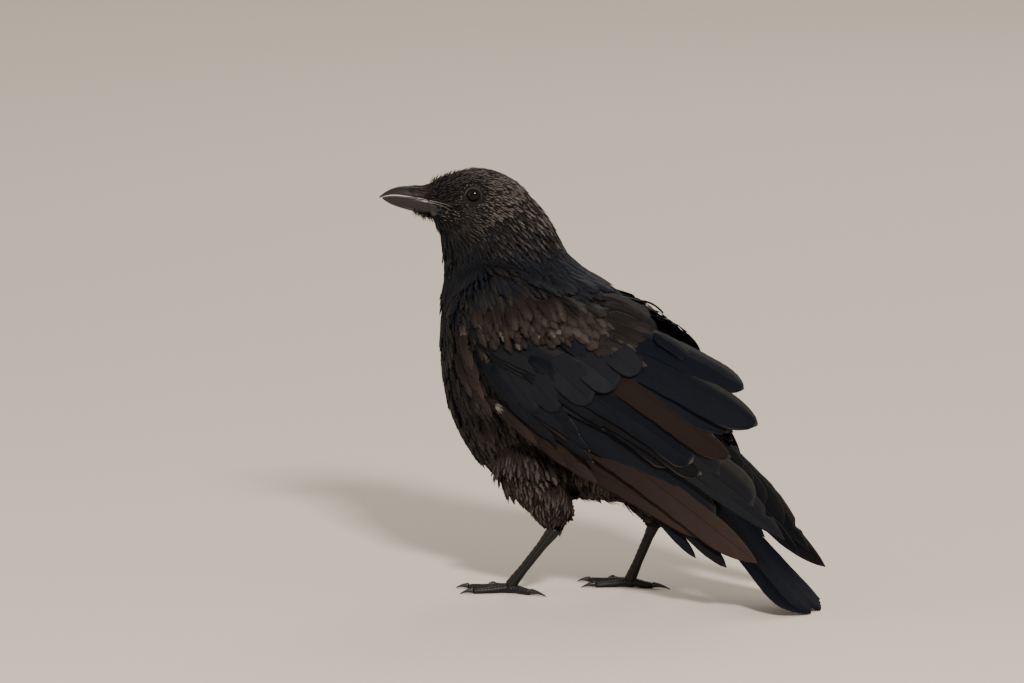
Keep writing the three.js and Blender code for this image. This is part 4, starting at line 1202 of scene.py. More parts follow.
def coverts(side):
    """The coverts of a folded wing, and one stray feather."""
    heap = Heap(36)
    seed = 300 + 100 * side
    for kind, feathers in COVERTS.items():
        for root, tip, half, proud, worn, edge in feathers:
            wide = half > WIDE_COVERT
            places = []
            for t in np.linspace(0, 1, COVERT_STATIONS) ** COVERT_STEPS:
                x, z = lerp(root, tip, t) + COVERT_ARCH * 4 * t * (1 - t)
                places.append((x, z, risen(t, 0.25 if wide else 0.15, 0.45, proud)))
            seed += 1
            faded = {"marginal": 0.35 + 0.25 * (seed % 2), "under_edge": 0.4}.get(kind, 0.0)
            # The greater coverts carry the strongest painted blue-grey sheen.
            vane(
                heap, *wing_line(side, places), half, lead=0.46, camber=0.9, roundness=0.36 if wide else 0.5,
                blunt=1.0 if wide else 0.6, splits=0 if half > SPLIT_COVERT else 2, seed=seed, worn=worn,
                edge=edge, bloom=1.3 if kind == "greater" else 0.3, faded=faded,
            )
    if side == LEFT:
        root, tip, half = STRAY_FEATHER
        ends = wing_point(side, root), wing_point(side, tip)
        straight_vane(heap, *ends, (0, 0, 1), half, bow=4.0, seed=9, worn=0.1, edge=0.2)
    return heap


# Soft feathers laid over the wing's roots, in the folded arm's frame. Scapulars: how far along their
# tips lie, and between which two lines across. Lesser coverts: a line of tips, and rows beside it.
SCAPULAR_ROWS = [
    (48, 50, 66), (55, 50, 69), (62, 51, 71), (69, 51, 72), (76, 52.5, 72), (83, 54, 72), (90, 55.5, 72),
    (96, 57, 70), (101, 59, 67), (105, 61, 64),
]
SCAPULAR_GAP, SCAPULAR_LENGTH, SCAPULAR_HALF = 4.4, 27.0, 5.4
# The near wing's longest scapulars, from the lowest to the uppermost: root, tip, half width, roll, worn.
LONG_SCAPULARS = [
    ((84, 187, 45), (120, 173, 42.5), 6.0, 26, 0.55), ((82, 193, 40), (122, 178.5, 37.5), 6.2, 34, 0.45),
    ((82, 199, 35), (124, 184, 33), 6.4, 42, 0.6), ((81, 205, 27), (123, 190, 27.5), 6.4, 50, 0.55),
    ((76, 211, 18), (120, 195.5, 21), 6.2, 58, 0.6), ((70, 216, 10), (112, 203, 15), 5.6, 66, 0.55),
]
LESSER_LINE = [(-2, 3), (8, 10), (18, 18), (28, 27), (38, 36), (45, 43), (49, 49)]
LESSER_ROWS, LESSER_COUNT, LESSER_LENGTH, LESSER_HALF = (5, 1, -3, -7, -11), 17, 20.0, 3.4


def shingle(heap, side, tip, heading, length, half, proud, **look):
    """A soft feather that lies on the folded arm, its root sunk under the ones before it."""
    tip, way = np.asarray(tip, float), np.array([math.cos(heading), math.sin(heading)])
    c, s = math.cos(ARM_DROP), math.sin(ARM_DROP)
    places = []
    for t in np.linspace(0, 1, 14) ** COVERT_STEPS:
        along, across = tip - way * length * (1 - t)
        x, z = ARM_ORIGIN[0] + along * c + across * s, ARM_ORIGIN[1] - along * s + across * c
        places.append((x, z, risen(t, 0.1, 0.6, proud)))
    vane(heap, *wing_line(side, places), half, camber=0.9, roundness=0.4, blunt=0.6, splits=3, **look)


def soft_wing_feathers(side):
    """Scapulars and lesser coverts of one wing."""
    heap = Heap(160)
    dice = random.Random(900 + side)
    for k, (along, low, high) in enumerate(SCAPULAR_ROWS if side == LEFT else SCAPULAR_ROWS[:-3]):
        for across in np.arange(low + SCAPULAR_GAP / 2 * (k % 2), high, SCAPULAR_GAP):
            tip = (along + dice.uniform(-3, 3), across + dice.uniform(-1.5, 1.5))
            shingle(
                heap, side, tip, math.radians(dice.uniform(-6, 4)), SCAPULAR_LENGTH * dice.uniform(0.85, 1.15),
                SCAPULAR_HALF * dice.uniform(0.8, 1.15), 2.6 + dice.uniform(-0.3, 0.3), seed=500 + heap.made,
                worn=dice.uniform(0.75, 1.0) - 0.016 * (across - 50), frost=0.2 + 0.3 * dice.random() ** 2,
            )
    for k, (root, tip, half, roll, worn) in enumerate(LONG_SCAPULARS if side == LEFT else ()):
        laid_vane(
            heap, side, root, tip, roll, half, 2.6, 2.0, 1.0, stations=16, camber=0.9, roundness=0.36, blunt=0.7,
            splits=2, seed=650 + k, worn=worn, edge=0.4, frost=0.15,
        )
    for row in LESSER_ROWS:
        for share in np.linspace(0, 1, LESSER_COUNT):
            along, across = smooth_rows(LESSER_LINE, share * (len(LESSER_LINE) - 1))
            tip = (along + row * 0.9 + dice.uniform(-3, 3), across - row * 0.45 + dice.uniform(-2.5, 2.5))
            heading = math.radians(lerp(-26, -8, share) + dice.uniform(-9, 9))
            shingle(
                heap, side, tip, heading, LESSER_LENGTH * dice.uniform(0.75, 1.2),
                LESSER_HALF * dice.uniform(0.7, 1.2), 2.2 + dice.uniform(-0.4, 0.3), seed=700 + heap.made,
                worn=dice.uniform(0.75, 1.0), frost=0.12 + 0.7 * dice.random() ** 4,
            )
    return heap


DOWN_TUFT = (14, 138)


def white_down():
    """A tuft of white down at the lower edge of the near wing."""
    heap = Heap(30)
    dice = random.Random(5)
    for _ in range(20):
        x, z = DOWN_TUFT[0] + dice.uniform(-2, 2), DOWN_TUFT[1] + dice.uniform(-1, 3)
        start, normal = on_wing(LEFT, x, z, 0.8)
        way = unit(np.array([dice.uniform(0.3, 1.0), 0, dice.uniform(-1.0, -0.2)]) + normal * dice.uniform(0.0, 0.3))
        strand(heap, start, way, dice.uniform(3.0, 6.0), 0.22, normal * dice.uniform(-0.8, 0.2))
    return heap


# ---- tail -------------------------------------------------------------------------------------

TAIL_FEATHERS = 12
TAIL_BASE, TAIL_DROP, TAIL_LENGTH, TAIL_ROOT = (113, 115.8), math.radians(43), 168, 22
TAIL_SPREAD, TAIL_HALF, TAIL_ROUNDING, TAIL_VAULT = math.radians(6.6), 15.5, 0.045, 0.22
TAIL_PARTING = math.radians(2.2)


def tail_feathers():
    """Twelve feathers that fan from one base, the middle pair on top."""
    heap = Heap(TAIL_FEATHERS)
    middle = (TAIL_FEATHERS - 1) / 2
    for i in range(TAIL_FEATHERS):
        place = i - middle
        share = place / middle
        angle = TAIL_SPREAD * (0.75 * share + 0.25 * share ** 3) + TAIL_PARTING * (1 if place > 0 else -1)
        sink = LAYER * abs(place) + (LAYER / 2 if place > 0 else 0)
        length = TAIL_LENGTH * (1 - TAIL_ROUNDING * share * share)

        def point(reach):
            flat = reach * math.cos(angle)
            return (
                TAIL_BASE[0] + flat * math.cos(TAIL_DROP) - sink * math.sin(TAIL_DROP),
                reach * math.sin(angle),
                TAIL_BASE[1] - flat * math.sin(TAIL_DROP) - sink * math.cos(TAIL_DROP),
            )

        facing = (math.sin(TAIL_DROP), TAIL_VAULT * share, math.cos(TAIL_DROP))
        straight_vane(heap, point(TAIL_ROOT), point(length), facing, TAIL_HALF * (0.95 - 0.1 * abs(share)),
                      lead=0.5 - 0.12 * abs(share), camber=1.0, roundness=0.2, blunt=0.7, splits=1, seed=200 + i,
                      stations=32, worn=0.08 * abs(share), edge=0.05)
    return heap


# ---- bill -------------------------------------------------------------------------------------
# Rows from the root to the tip on the straight head: x, top, bottom, half width.

UPPER_BILL = [
    (-60, 284.6, 274.9, 7.6), (-69, 286, 277.7, 7.7), (-78, 286.6, 279.3, 6.7), (-86, 286.2, 279.9, 5.4),
    (-92, 284.6, 280, 4.1), (-97, 282, 279.2, 2.6), (-100.6, 279.2, 277.9, 1.0),
]
LOWER_BILL = [
    (-60, 274.5, 266.2, 6.9), (-69, 277.3, 266.6, 6.6), (-78, 278.9, 268.7, 5.6), (-86, 279.5, 271, 4.3),
    (-92, 279.6, 273.2, 3.0), (-96.4, 278.9, 275.7, 1.5), (-98.4, 278.6, 277.3, 0.5),
]
BILL_STATIONS, BILL_AROUND = 52, 64
UPPER_GAP, LOWER_GAP = 0.12, -0.05  # how far the cutting edges keep from their rows
BILL_KEEL, BILL_CROWN, BILL_FLAT = 0.10, 0.92, 0.05
HIGHLIGHT_START = 6  # how many rings from the root the painted highlight starts
# How far up from the cutting edge the horn carries a painted highlight, by the straight head's x.
HIGHLIGHT_HEIGHT = {
    "x": (-98, -93, -86, -81, -75, -71, -66),
    "upper": (0.5, 1.3, 1.4, 0.8, 0.6, 0.95, 0.45), "lower": (0.3, 0.3, 0.3, 0.4, 0.5, 0.7, 0.7),
}
# Bristles of each side: over the upper bill, under the lower bill, and those of the chin behind them.
NASAL_BRISTLES, UNDER_BRISTLES, CHIN_BRISTLES = 190, 60, 130


def bill_place(rows, rounds_up, at, angle, proud=0.0):
    """A place on a half of the bill. The angle runs from the middle of the round face towards the left
    cutting edge at a quarter turn, then back over the flat face."""
    x, top, bottom, half = smooth_rows(rows, at)
    c, s = math.cos(angle), math.sin(angle)
    meeting, crown = (bottom + UPPER_GAP, top) if rounds_up else (top + LOWER_GAP, bottom)
    if c < 0:
        return turned(x, half * s * (1 + 0.04 * c), meeting + (crown - meeting) * BILL_FLAT * -c)
    out = (half + proud) * s * (1 - BILL_KEEL * c ** 3)
    return turned(x, out, meeting + (crown - meeting) * c ** BILL_CROWN + proud * c * (1 if rounds_up else -1))


def bill_half(rows, rounds_up):
    """One half of the bill: keeled on its round face, with a painted highlight along its cutting edge."""
    heap = Heap(3)
    rings, rubs = [], []
    last = len(rows) - 1
    for k in range(BILL_STATIONS):
        at = last * (k / (BILL_STATIONS - 1)) ** 0.9
        x, top, bottom, _ = smooth_rows(rows, at)
        tall, width = top - bottom, np.interp(x, HIGHLIGHT_HEIGHT["x"], HIGHLIGHT_HEIGHT["upper" if rounds_up else "lower"])
        ring, rub = [], []
        for i in range(BILL_AROUND):
            angle = 2 * math.pi * i / BILL_AROUND
            angle += 0.30 * math.sin(2 * angle) * (math.cos(angle) > 0)  # finer near the cutting edge
            ring.append(bill_place(rows, rounds_up, at, angle))
            above = tall * max(0.0, math.cos(angle))
            edge = max(0.0, 1 - above / width) * min(1.0, k / HIGHLIGHT_START)
            rub.append(edge if math.cos(angle) > -0.3 else 0.2)
        rings.append(ring)
        rubs.append(rub)
    end = np.mean(rings[-1], axis=0)
    rings.append([lerp(end, point, 0.45) + turned_way(-0.5, 0, -0.1) for point in rings[-1]])
    rubs.append(rubs[-1])
    heap.loft(rings, along=np.linspace(0, 1, len(rings)), rub=np.array(rubs))
    return heap


def nasal_bristle(heap, dice, side):
    """A bristle that rises at the bill's root and lies forward over the upper bill."""
    angle = side * dice.uniform(0.12, 1.38)
    start = dice.uniform(0.15, 0.85)
    reach = dice.uniform(0.55, 1.5) * (1.2 - 0.55 * abs(abs(angle) - 0.8))
    raised = lerp(5.2, 1.4, (start - 0.15) / 0.7) * dice.uniform(0.7, 1.05)
    veer, wave = dice.uniform(-0.08, 0.2), dice.uniform(-0.06, 0.06)
    points = []
    for t in np.linspace(0, 1, 7):
        proud = 0.2 + raised * math.exp(-t / 0.22) + 0.35 * t * dice.random()
        bent = angle * (1 + veer * t + wave * math.sin(5 * t))
        points.append(bill_place(UPPER_BILL, True, start + reach * t, bent, proud))
    path_strand(
        heap, points, dice.uniform(0.2, 0.4), worn=dice.uniform(0.3, 1.0), frost=2.2 * dice.random() ** 2,
        chance=dice.random(), across=0.2, first=0.4,
    )


def under_bristle(heap, dice, side):
    """A short stiff bristle that lies forward under the lower bill's root."""
    angle = side * dice.uniform(0.0, 0.5)
    start, reach = dice.uniform(0.1, 0.85), dice.uniform(0.25, 0.6)
    raised = lerp(2.6, 0.8, (start - 0.1) / 0.75) * dice.uniform(0.7, 1.05)
    points = []
    for t in np.linspace(0, 1, 6):
        proud = 0.2 + raised * math.exp(-t / 0.35)
        points.append(bill_place(LOWER_BILL, False, start + reach * t, angle * (1 + 0.05 * t), proud))
    path_strand(
        heap, points, dice.uniform(0.25, 0.42), worn=dice.uniform(0.2, 0.8), frost=dice.random() * 0.4,
        chance=dice.random(), across=0.3,
    )


def chin_bristle(heap, dice, side):
    """A loose bristle that hangs from the chin, the longer the farther back."""
    back = dice.random() ** 0.8
    root = bill_place(LOWER_BILL, False, 1.9 * (1 - back), side * dice.uniform(0.0, 0.9), -0.3)
    root = root + turned_way(4.0 * max(0.0, back - 0.6), 0, 0)
    way = unit(turned_way(dice.uniform(-0.2, 0.6), side * 0.12, -dice.uniform(0.6, 1.0)))
    length = dice.uniform(3.5, 7.5) * (0.65 + 0.6 * back)
    points = [root + way * length * t + turned_way(0.8 * t * t, 0, 0) for t in np.linspace(0, 1, 5)]
    path_strand(heap, points, dice.uniform(0.18, 0.30), worn=0.3, frost=0.2, chance=dice.random(), across=0.3)


def bristles():
    """Nasal bristles that lie forward over the upper bill, and the stiff small ones of the chin."""
    heap = Heap(1000)
    dice = random.Random(31)
    for side in (LEFT, RIGHT):
        for bristle, count in (
            (nasal_bristle, NASAL_BRISTLES), (under_bristle, UNDER_BRISTLES), (chin_bristle, CHIN_BRISTLES),
        ):
            for _ in range(count):
                bristle(heap, dice, side)
    return heap


# The corners of the mouth run back over the cheek: straight-head x and z of each lip.
LIPS = {
    "upper": [(-68, 278.0), (-64, 277.5), (-58, 276.7), (-53, 275.7), (-49, 274.2)],
    "lower": [(-68, 276.9), (-64, 276.3), (-58, 275.2), (-53, 273.4), (-50, 271.6)],
}
LIP_RADIUS = {"upper": 0.5, "lower": 0.4}
LIP_STATIONS, LIP_AROUND, LIP_PROUD, LIP_FULLNESS = 22, 12, 1.5, 1.5
MOUTH_BARBS, CHEEK_FLECKS = 46, 16
JAW_PLATE = [  # straight-head x, top, bottom, how proud
    (-84, 279.0, 271.4, -0.3), (-80, 278.6, 270.2, 0.1), (-76, 278.1, 268.9, 0.25), (-72, 277.5, 267.8, 0.4),
    (-68, 276.8, 267.0, 0.7), (-65, 276.3, 266.6, 0.9), (-61.5, 275.7, 266.9, 0.9), (-58.5, 275.0, 268.0, 0.6),
    (-56, 274.2, 269.6, -0.2),
]
PLATE_STATIONS, PLATE_ROWS, PLATE_ROUNDING, PLATE_BACK = 33, 13, 0.7, -1.2
JAW_FRONT = (-85.0, -66.9)  # where the horn starts to leave the bill's side, and where the head's surface starts


def on_skin(tree, start, way):
    """Where a line from outside meets the skin."""
    return to_bird(tree.ray_cast(Vector(to_frame(start)), Vector(way))[0])


def cheek(tree, side, x, z, proud):
    """A place over the skin of the head's side."""
    inward = turned_way(0, -side, 0)
    return on_skin(tree, turned(x, side * 45, z), inward) - inward * proud


def lower_bill_side(side, x, z):
    """A place on the side of the lower bill at a height."""
    row = smooth_rows(LOWER_BILL, max(0.0, (x - LOWER_BILL[0][0]) / (LOWER_BILL[1][0] - LOWER_BILL[0][0])))
    deep = clamp((row[1] - z) / (row[1] - row[2]))
    return turned(x, side * row[3] * math.sqrt(1 - deep ** 2.2), z)


def jaw_place(tree, side, x, z, proud):
    """A place on the jaw's horn: it leaves the bill's side and widens smoothly to the cheek."""
    out_way = turned_way(0, side, 0)
    head_x = max(x, JAW_FRONT[1])
    step = max(0.0, (cheek(tree, side, head_x, z, 0.0) - lower_bill_side(side, head_x, z)) @ out_way)
    share = clamp((x - JAW_FRONT[0]) / (JAW_FRONT[1] - JAW_FRONT[0]))
    return lower_bill_side(side, x, z) + out_way * (step * share * share * (3 - 2 * share) + proud)


def jaw_plates(tree, heap):
    """The lower bill's horn goes on over the jaw, as a thin plate below the corner of the mouth."""
    last = PLATE_ROWS - 1
    for side in (LEFT, RIGHT):
        rings = []
        for at in np.linspace(0, len(JAW_PLATE) - 1, PLATE_STATIONS):
            x, top, bottom, proud = smooth_rows(JAW_PLATE, at)
            rows = np.linspace(top, bottom, PLATE_ROWS)
            swell = [proud - PLATE_ROUNDING * (2 * k / last - 1) ** 6 for k in range(PLATE_ROWS)]
            outer = [jaw_place(tree, side, x, z, high) for z, high in zip(rows, swell)]
            inner = [jaw_place(tree, side, x, z, PLATE_BACK) for z in rows[::-1]]
            rings.append(outer + inner)
        # The plate's top rows carry the painted highlight that runs on from the lower bill's cutting edge.
        rub = [max(0.0, 0.9 - k * 0.6) for k in range(PLATE_ROWS)] + [0.0] * PLATE_ROWS
        heap.loft(rings, along=np.linspace(0, 0.3, PLATE_STATIONS), rub=np.array([rub] * PLATE_STATIONS))
    return heap


def lip(heap, tree, dice, side, name):
    """One lip of a corner of the mouth, thinner towards its hind end."""
    out = turned_way(0, side, 0)
    steps = np.linspace(0, len(LIPS[name]) - 1, LIP_STATIONS)
    points = [cheek(tree, side, *smooth_rows(LIPS[name], at), LIP_PROUD) for at in steps]
    last = LIP_STATIONS - 1
    rings, rubs = [], []
    for i, centre in enumerate(points):
        t = i / last
        way = unit(points[min(i + 1, last)] - points[max(i - 1, 0)])
        over = unit(np.cross(way, out))
        r = LIP_RADIUS[name] * (1 - 0.6 * t) * (1 + 0.12 * math.sin(9 * t))
        wide = out * r * LIP_FULLNESS
        rings.append([centre + wide * math.sin(a) + over * r * math.cos(a) for a in turns(LIP_AROUND)])
        rubs.append(1.2 - 0.8 * t + dice.uniform(-0.1, 0.1))
    heap.loft(rings, rub=np.array(rubs))


def gape(tree):
    """Bare lips at the corners of the mouth, with small bristles and pale flecks round them."""
    heap = Heap(140)
    dice = random.Random(77)
    for side in (LEFT, RIGHT):
        out = turned_way(0, side, 0)
        for name in LIPS:
            lip(heap, tree, dice, side, name)
        for _ in range(MOUTH_BARBS):
            x, z = dice.uniform(-63, -56), dice.uniform(267.0, 276.0)
            way = unit(turned_way(1, 0, dice.uniform(-0.5, 0.0)))
            start, length, radius = cheek(tree, side, x, z, 1.3), dice.uniform(3.0, 5.0), dice.uniform(0.15, 0.28)
            bead(heap, start, way, out, length, radius, rub=dice.random() ** 3)
        for _ in range(CHEEK_FLECKS):
            x, z = dice.uniform(-57, -44), dice.uniform(264.5, 271.5)
            way = unit(turned_way(1, 0, dice.uniform(-0.8, 0.2)))
            start, length, radius = cheek(tree, side, x, z, 1.7), dice.uniform(0.9, 2.0), dice.uniform(0.22, 0.36)
            bead(heap, start, way, out, length, radius, rub=dice.uniform(0.5, 1.0))
    return heap


# ---- eyes -------------------------------------------------------------------------------------

CORNEA_BULGE = 0.45
LID_PROFILE = [  # distance from the eye's axis and height over its middle, round the lid's section
    (4.30, 5.20), (4.38, 5.75), (4.75, 5.95), (5.2, 5.5), (5.55, 5.4), (5.9, 5.6), (6.25, 5.2), (7.3, 4.9),
    (8.2, 4.2), (7.8, 3.2), (5.6, 3.4), (4.8, 4.3),
]
LID_SPOKES, LID_CREASES, LID_CREASE = 84, 21, 0.10
EYE_RINGS, EYE_SPOKES, EYE_CLEARANCE = 32, 40, 0.12
LID_BEADS, BEAD_FLOOR = 38, 4.9  # how many beads lie round the lid, and how far over the eye's middle at least
BEAD_STEPS = (0.0, 0.25, 0.6, 0.9, 1.0)


def eye_frame(side):
    """The eye's middle, its axis and two ways across it: up and forward."""
    axis = eye_axis(side)
    up = unit(np.array([0, 0, 1]) - axis * axis[2])
    ahead = np.cross(up, axis) * side
    return eye_centre(side), axis, up, ahead


def eyeball(side):
    """A ball with a bulging cornea; ray tells how far a place lies round from the eye's axis."""
    heap = Heap()
    centre, axis, up, ahead = eye_frame(side)
    rings, rays = [], []
    for i in range(EYE_RINGS + 1):
        angle = math.pi * (0.003 + 0.994 * i / EYE_RINGS)
        r = EYE["radius"] - EYE_CLEARANCE + CORNEA_BULGE * math.exp(-(angle / 0.5) ** 2)
        middle = centre + axis * r * math.cos(angle)
        spokes = [wheel(up, ahead, 2 * math.pi * k / EYE_SPOKES) for k in range(EYE_SPOKES)]
        rings.append([middle + spoke * r * math.sin(angle) for spoke in spokes])
        rays.append(2 * angle / math.pi)
    heap.loft(rings, ray=np.array(rays))
    return heap


def eye_corner(spoke):
    """How much farther the lids reach at the eye's front and hind corners."""
    front = math.exp(-((spoke - math.pi * 0.5) / 0.3) ** 2)
    return 0.5 * front + 0.35 * math.exp(-((spoke - math.pi * 1.5) / 0.3) ** 2)


def eyelids(side, tree):
    """The rim of bare skin round an eye, creased, with a row of little beads along its outside."""
    heap = Heap(60)
    centre, axis, up, ahead = eye_frame(side)
    dice = random.Random(17 + side)
    rings, rubs = [], []
    for k in range(LID_SPOKES):
        spoke = 2 * math.pi * k / LID_SPOKES
        out_way = wheel(up, ahead, spoke)
        crease = LID_CREASE * math.sin(spoke * LID_CREASES + dice.uniform(-0.4, 0.4))
        corner = eye_corner(spoke)
        # Rows 1 and 5 are the lid's pale rim; row 5 is paler towards one side round the eye, a painted highlight.
        lit = {1: 0.1, 5: 0.65 + 0.35 * math.sin(spoke - 0.45)}
        ring, rub = [], []
        for j, (d, h) in enumerate(LID_PROFILE):
            loose = 1.0 if 2 <= j <= 6 else 0.0
            ring.append(centre + out_way * (d + corner * (1 if j < 4 else 0.4)) + axis * (h + crease * loose))
            rub.append(lit.get(j, 0.0) * dice.uniform(0.5, 1.0))
        rings.append(ring)
        rubs.append(rub)
    heap.loft(rings, hoop=True, rub=np.array(rubs))
    for k in range(LID_BEADS):
        out_way = wheel(up, ahead, 2 * math.pi * (k + dice.uniform(-0.45, 0.45)) / LID_BEADS)
        hit = on_skin(tree, centre + out_way * dice.uniform(6.9, 8.3) + axis * 25, -axis)
        start = hit + axis * max(0.5, 0.3 + BEAD_FLOOR - (hit - centre) @ axis)
        way = unit(out_way + axis * 0.15 - ahead * 0.5)
        bead(heap, start, way, axis, dice.uniform(0.7, 1.7), dice.uniform(0.2, 0.42), rub=dice.random() ** 1.6)
    return heap


def bead(heap, start, way, up, length, radius, **look):
    """A small closed bud: narrow at both ends."""
    side = unit(np.cross(way, up))
    rings = []
    for t in BEAD_STEPS:
        r = radius * math.sin(math.pi * (0.08 + 0.86 * t)) ** 0.7
        centre = start + way * length * t
        rings.append([centre + side * r * math.cos(a) + up * r * math.sin(a) for a in turns(6)])
    heap.loft(rings, **look)


# ---- legs -------------------------------------------------------------------------------------

LEGS = {
    "left": {"side": LEFT, "ankle": (46.5, 34, 50), "foot": (9, 31)},
    "right": {"side": RIGHT, "ankle": (93, 32, 51), "foot": (73, 30)},
}
# Share of the shank's length from the ankle, half depth, half width.
SHANK_ROWS = [(0, 4.6, 4.0), (0.12, 4.5, 3.9), (0.3, 3.5, 3.0), (0.72, 3.3, 2.9), (0.9, 3.8, 3.6), (1, 4.0, 4.0)]
FOOT_HEIGHT = 5.5
TOES = {  # heading outwards, length, radius, reach of the claw
    "inner": (-34, 25, 2.9, 10), "middle": (2, 33, 3.1, 10), "outer": (36, 27, 2.8, 9), "hind": (174, 17, 3.3, 13),
}
TOE_TAPER, TOE_LIFT, TOE_ARCH = 0.3, 0.84, 1.6
CLAW_ROOT, CLAW_THICKNESS, CLAW_TIP_RADIUS, CLAW_TIP_HEIGHT, CLAW_HUMP = 0.7, 0.82, 0.3, 0.35, 1.2
SHANK_SCUTES, TOE_SCUTE_LENGTH = 12, 2.3
SHANK_STATIONS, SCUTE_RISE, SEAM_DEPTH = 96, 0.28, 0.22
TOE_STATIONS = 1.8  # a millimetre
PADS, PAD_SWELL, PAD_SINK = 3, 0.10, 0.05
BALL_RADIUS, BALL_STATIONS, BALL_STRETCH = 4.6, 14, 1.1
CLAW_STATIONS, CLAW_AROUND, CLAW_FLATNESS = 20, 16, 0.86
LIMB_AROUND = 24


def shank(leg):
    """A scaled shank: broad overlapping scutes in front, one long plate on each side behind."""
    heap = Heap()
    x, out, z = leg["ankle"]
    end_x, end_out = leg["foot"]
    top, end = np.array([x, leg["side"] * out, z]), np.array([end_x, leg["side"] * end_out, FOOT_HEIGHT])
    along = end - top
    across = np.array([0.0, 1.0, 0.0])
    ahead = unit(np.cross(across, along))
    places, depths, widths = zip(*SHANK_ROWS)
    rings, joints = [], []
    for k in range(SHANK_STATIONS + 1):
        t = k / SHANK_STATIONS
        deep, wide = np.interp(t, places, depths), np.interp(t, places, widths)
        step = (t * SHANK_SCUTES) % 1.0
        ring, joint = [], []
        for i in range(LIMB_AROUND):
            angle = 2 * math.pi * i / LIMB_AROUND
            c, s = math.cos(angle), math.sin(angle)
            front = clamp(c * 1.6 + 0.25)
            seam = math.exp(-(abs(c + 0.18) / 0.12) ** 2)
            plate = front * (0.10 + SCUTE_RISE * step - 0.34 * (step > 0.92)) - SEAM_DEPTH * seam
            ring.append(top + along * t + ahead * (deep + plate) * c + across * (wide + plate) * s)
            joint.append(max(front * (step > 0.9 or step < 0.06), seam))
        rings.append(ring)
        joints.append(joint)
    heap.loft(rings, joint=np.array(joints))
    return heap


def floor_ring(centre, ahead, wide, tall, around=LIMB_AROUND):
    """A ring round a line over the floor, flat underneath where it would sink into the floor."""
    across = np.array([-ahead[1], ahead[0], 0])
    ring = []
    for i in range(around):
        angle = 2 * math.pi * (i + 0.5) / around
        point = centre + across * wide * math.cos(angle)
        point[2] = max(0.0, point[2] + tall * math.sin(angle))
        ring.append(point)
    return ring


def heading_of(side, heading):
    """The level way of a toe, turned outwards from straight ahead by so many degrees."""
    heading = math.radians(heading)
    return np.array([-math.cos(heading), side * math.sin(heading), 0])


def toe(heap, middle, ahead, length, radius):
    """A toe: scutes on top, pads under it, rounded at its end."""
    rings, joints = [], []
    stations = int(length * TOE_STATIONS)
    for k in range(stations + 1):
        t = k / stations
        thick = radius * (1 - TOE_TAPER * t)
        lift = TOE_LIFT * thick + TOE_ARCH * (1 - t) ** 2
        pad = PAD_SWELL * math.sin(math.pi * t * PADS) ** 2 - PAD_SINK
        end = math.sqrt(max(0.0, 1 - max(0.0, (t - 0.9) / 0.1) ** 2)) * 0.35 + 0.65
        centre = np.array([*middle, lift]) + ahead * length * t
        ring = floor_ring(centre, ahead, thick * (1 + pad) * end, thick * (1 + pad * 0.5) * end)
        step = (length * t / TOE_SCUTE_LENGTH) % 1.0
        joint = []
        for i, point in enumerate(ring):
            over = max(0.0, math.sin(2 * math.pi * (i + 0.5) / LIMB_AROUND))
            point[2] += over * (0.22 * step - 0.26 * (step > 0.8))
            joint.append(over > 0.35 and (step > 0.8 or step < 0.1))
        rings.append(ring)
        joints.append(joint)
    heap.loft(rings, joint=np.array(joints))


def foot(leg):
    """Four toes and the ball where they meet."""
    heap = Heap(5)
    side, (x, out) = leg["side"], leg["foot"]
    for heading, length, radius, _ in TOES.values():
        toe(heap, (x, side * out), heading_of(side, heading), length, radius)
    rings = []
    for k in range(BALL_STATIONS + 1):
        angle = math.pi * (0.03 + 0.94 * k / BALL_STATIONS)
        r, height = BALL_RADIUS * math.sin(angle) ** 0.8, FOOT_HEIGHT * 0.5 * (1 - math.cos(angle)) * 1.15
        rings.append([
            (x + BALL_STRETCH * r * math.cos(a), side * out + r * math.sin(a), height) for a in turns(LIMB_AROUND)
        ])
    heap.loft(rings, joint=0.1)
    return heap


def claws(leg):
    """The four claws of a foot, curved down to the floor."""
    heap = Heap(4)
    side, (x, out) = leg["side"], leg["foot"]
    for heading, length, radius, reach in TOES.values():
        ahead = heading_of(side, heading)
        start = radius * CLAW_ROOT
        rings = []
        for t in np.linspace(0, 1, CLAW_STATIONS):
            height = CLAW_TIP_HEIGHT + start * (1 - t * t) + CLAW_HUMP * t * (1 - t)
            centre = np.array([x, side * out, height]) + ahead * (length + 0.3 + reach * t)
            thick = CLAW_TIP_RADIUS + start * CLAW_THICKNESS * (1 - t)
            rings.append(floor_ring(centre, ahead, thick * CLAW_FLATNESS, thick, CLAW_AROUND))
        heap.loft(rings)
    return heap


# ---- assembly ---------------------------------------------------------------------------------

COAT, SKIN, VANE, HORN = coat_finish(), skin_finish(), vane_finish(), horn_finish()
EYE_WET, LEG, CLAW, LID, DOWN = eye_finish(), leg_finish(), claw_finish(), lid_finish(), down_finish()


def settle(piece, slot, *nodes):
    """Lets a piece ride on the bird in the place of the solids it stands for."""
    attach(piece, "root")
    if nodes:
        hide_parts(*nodes)


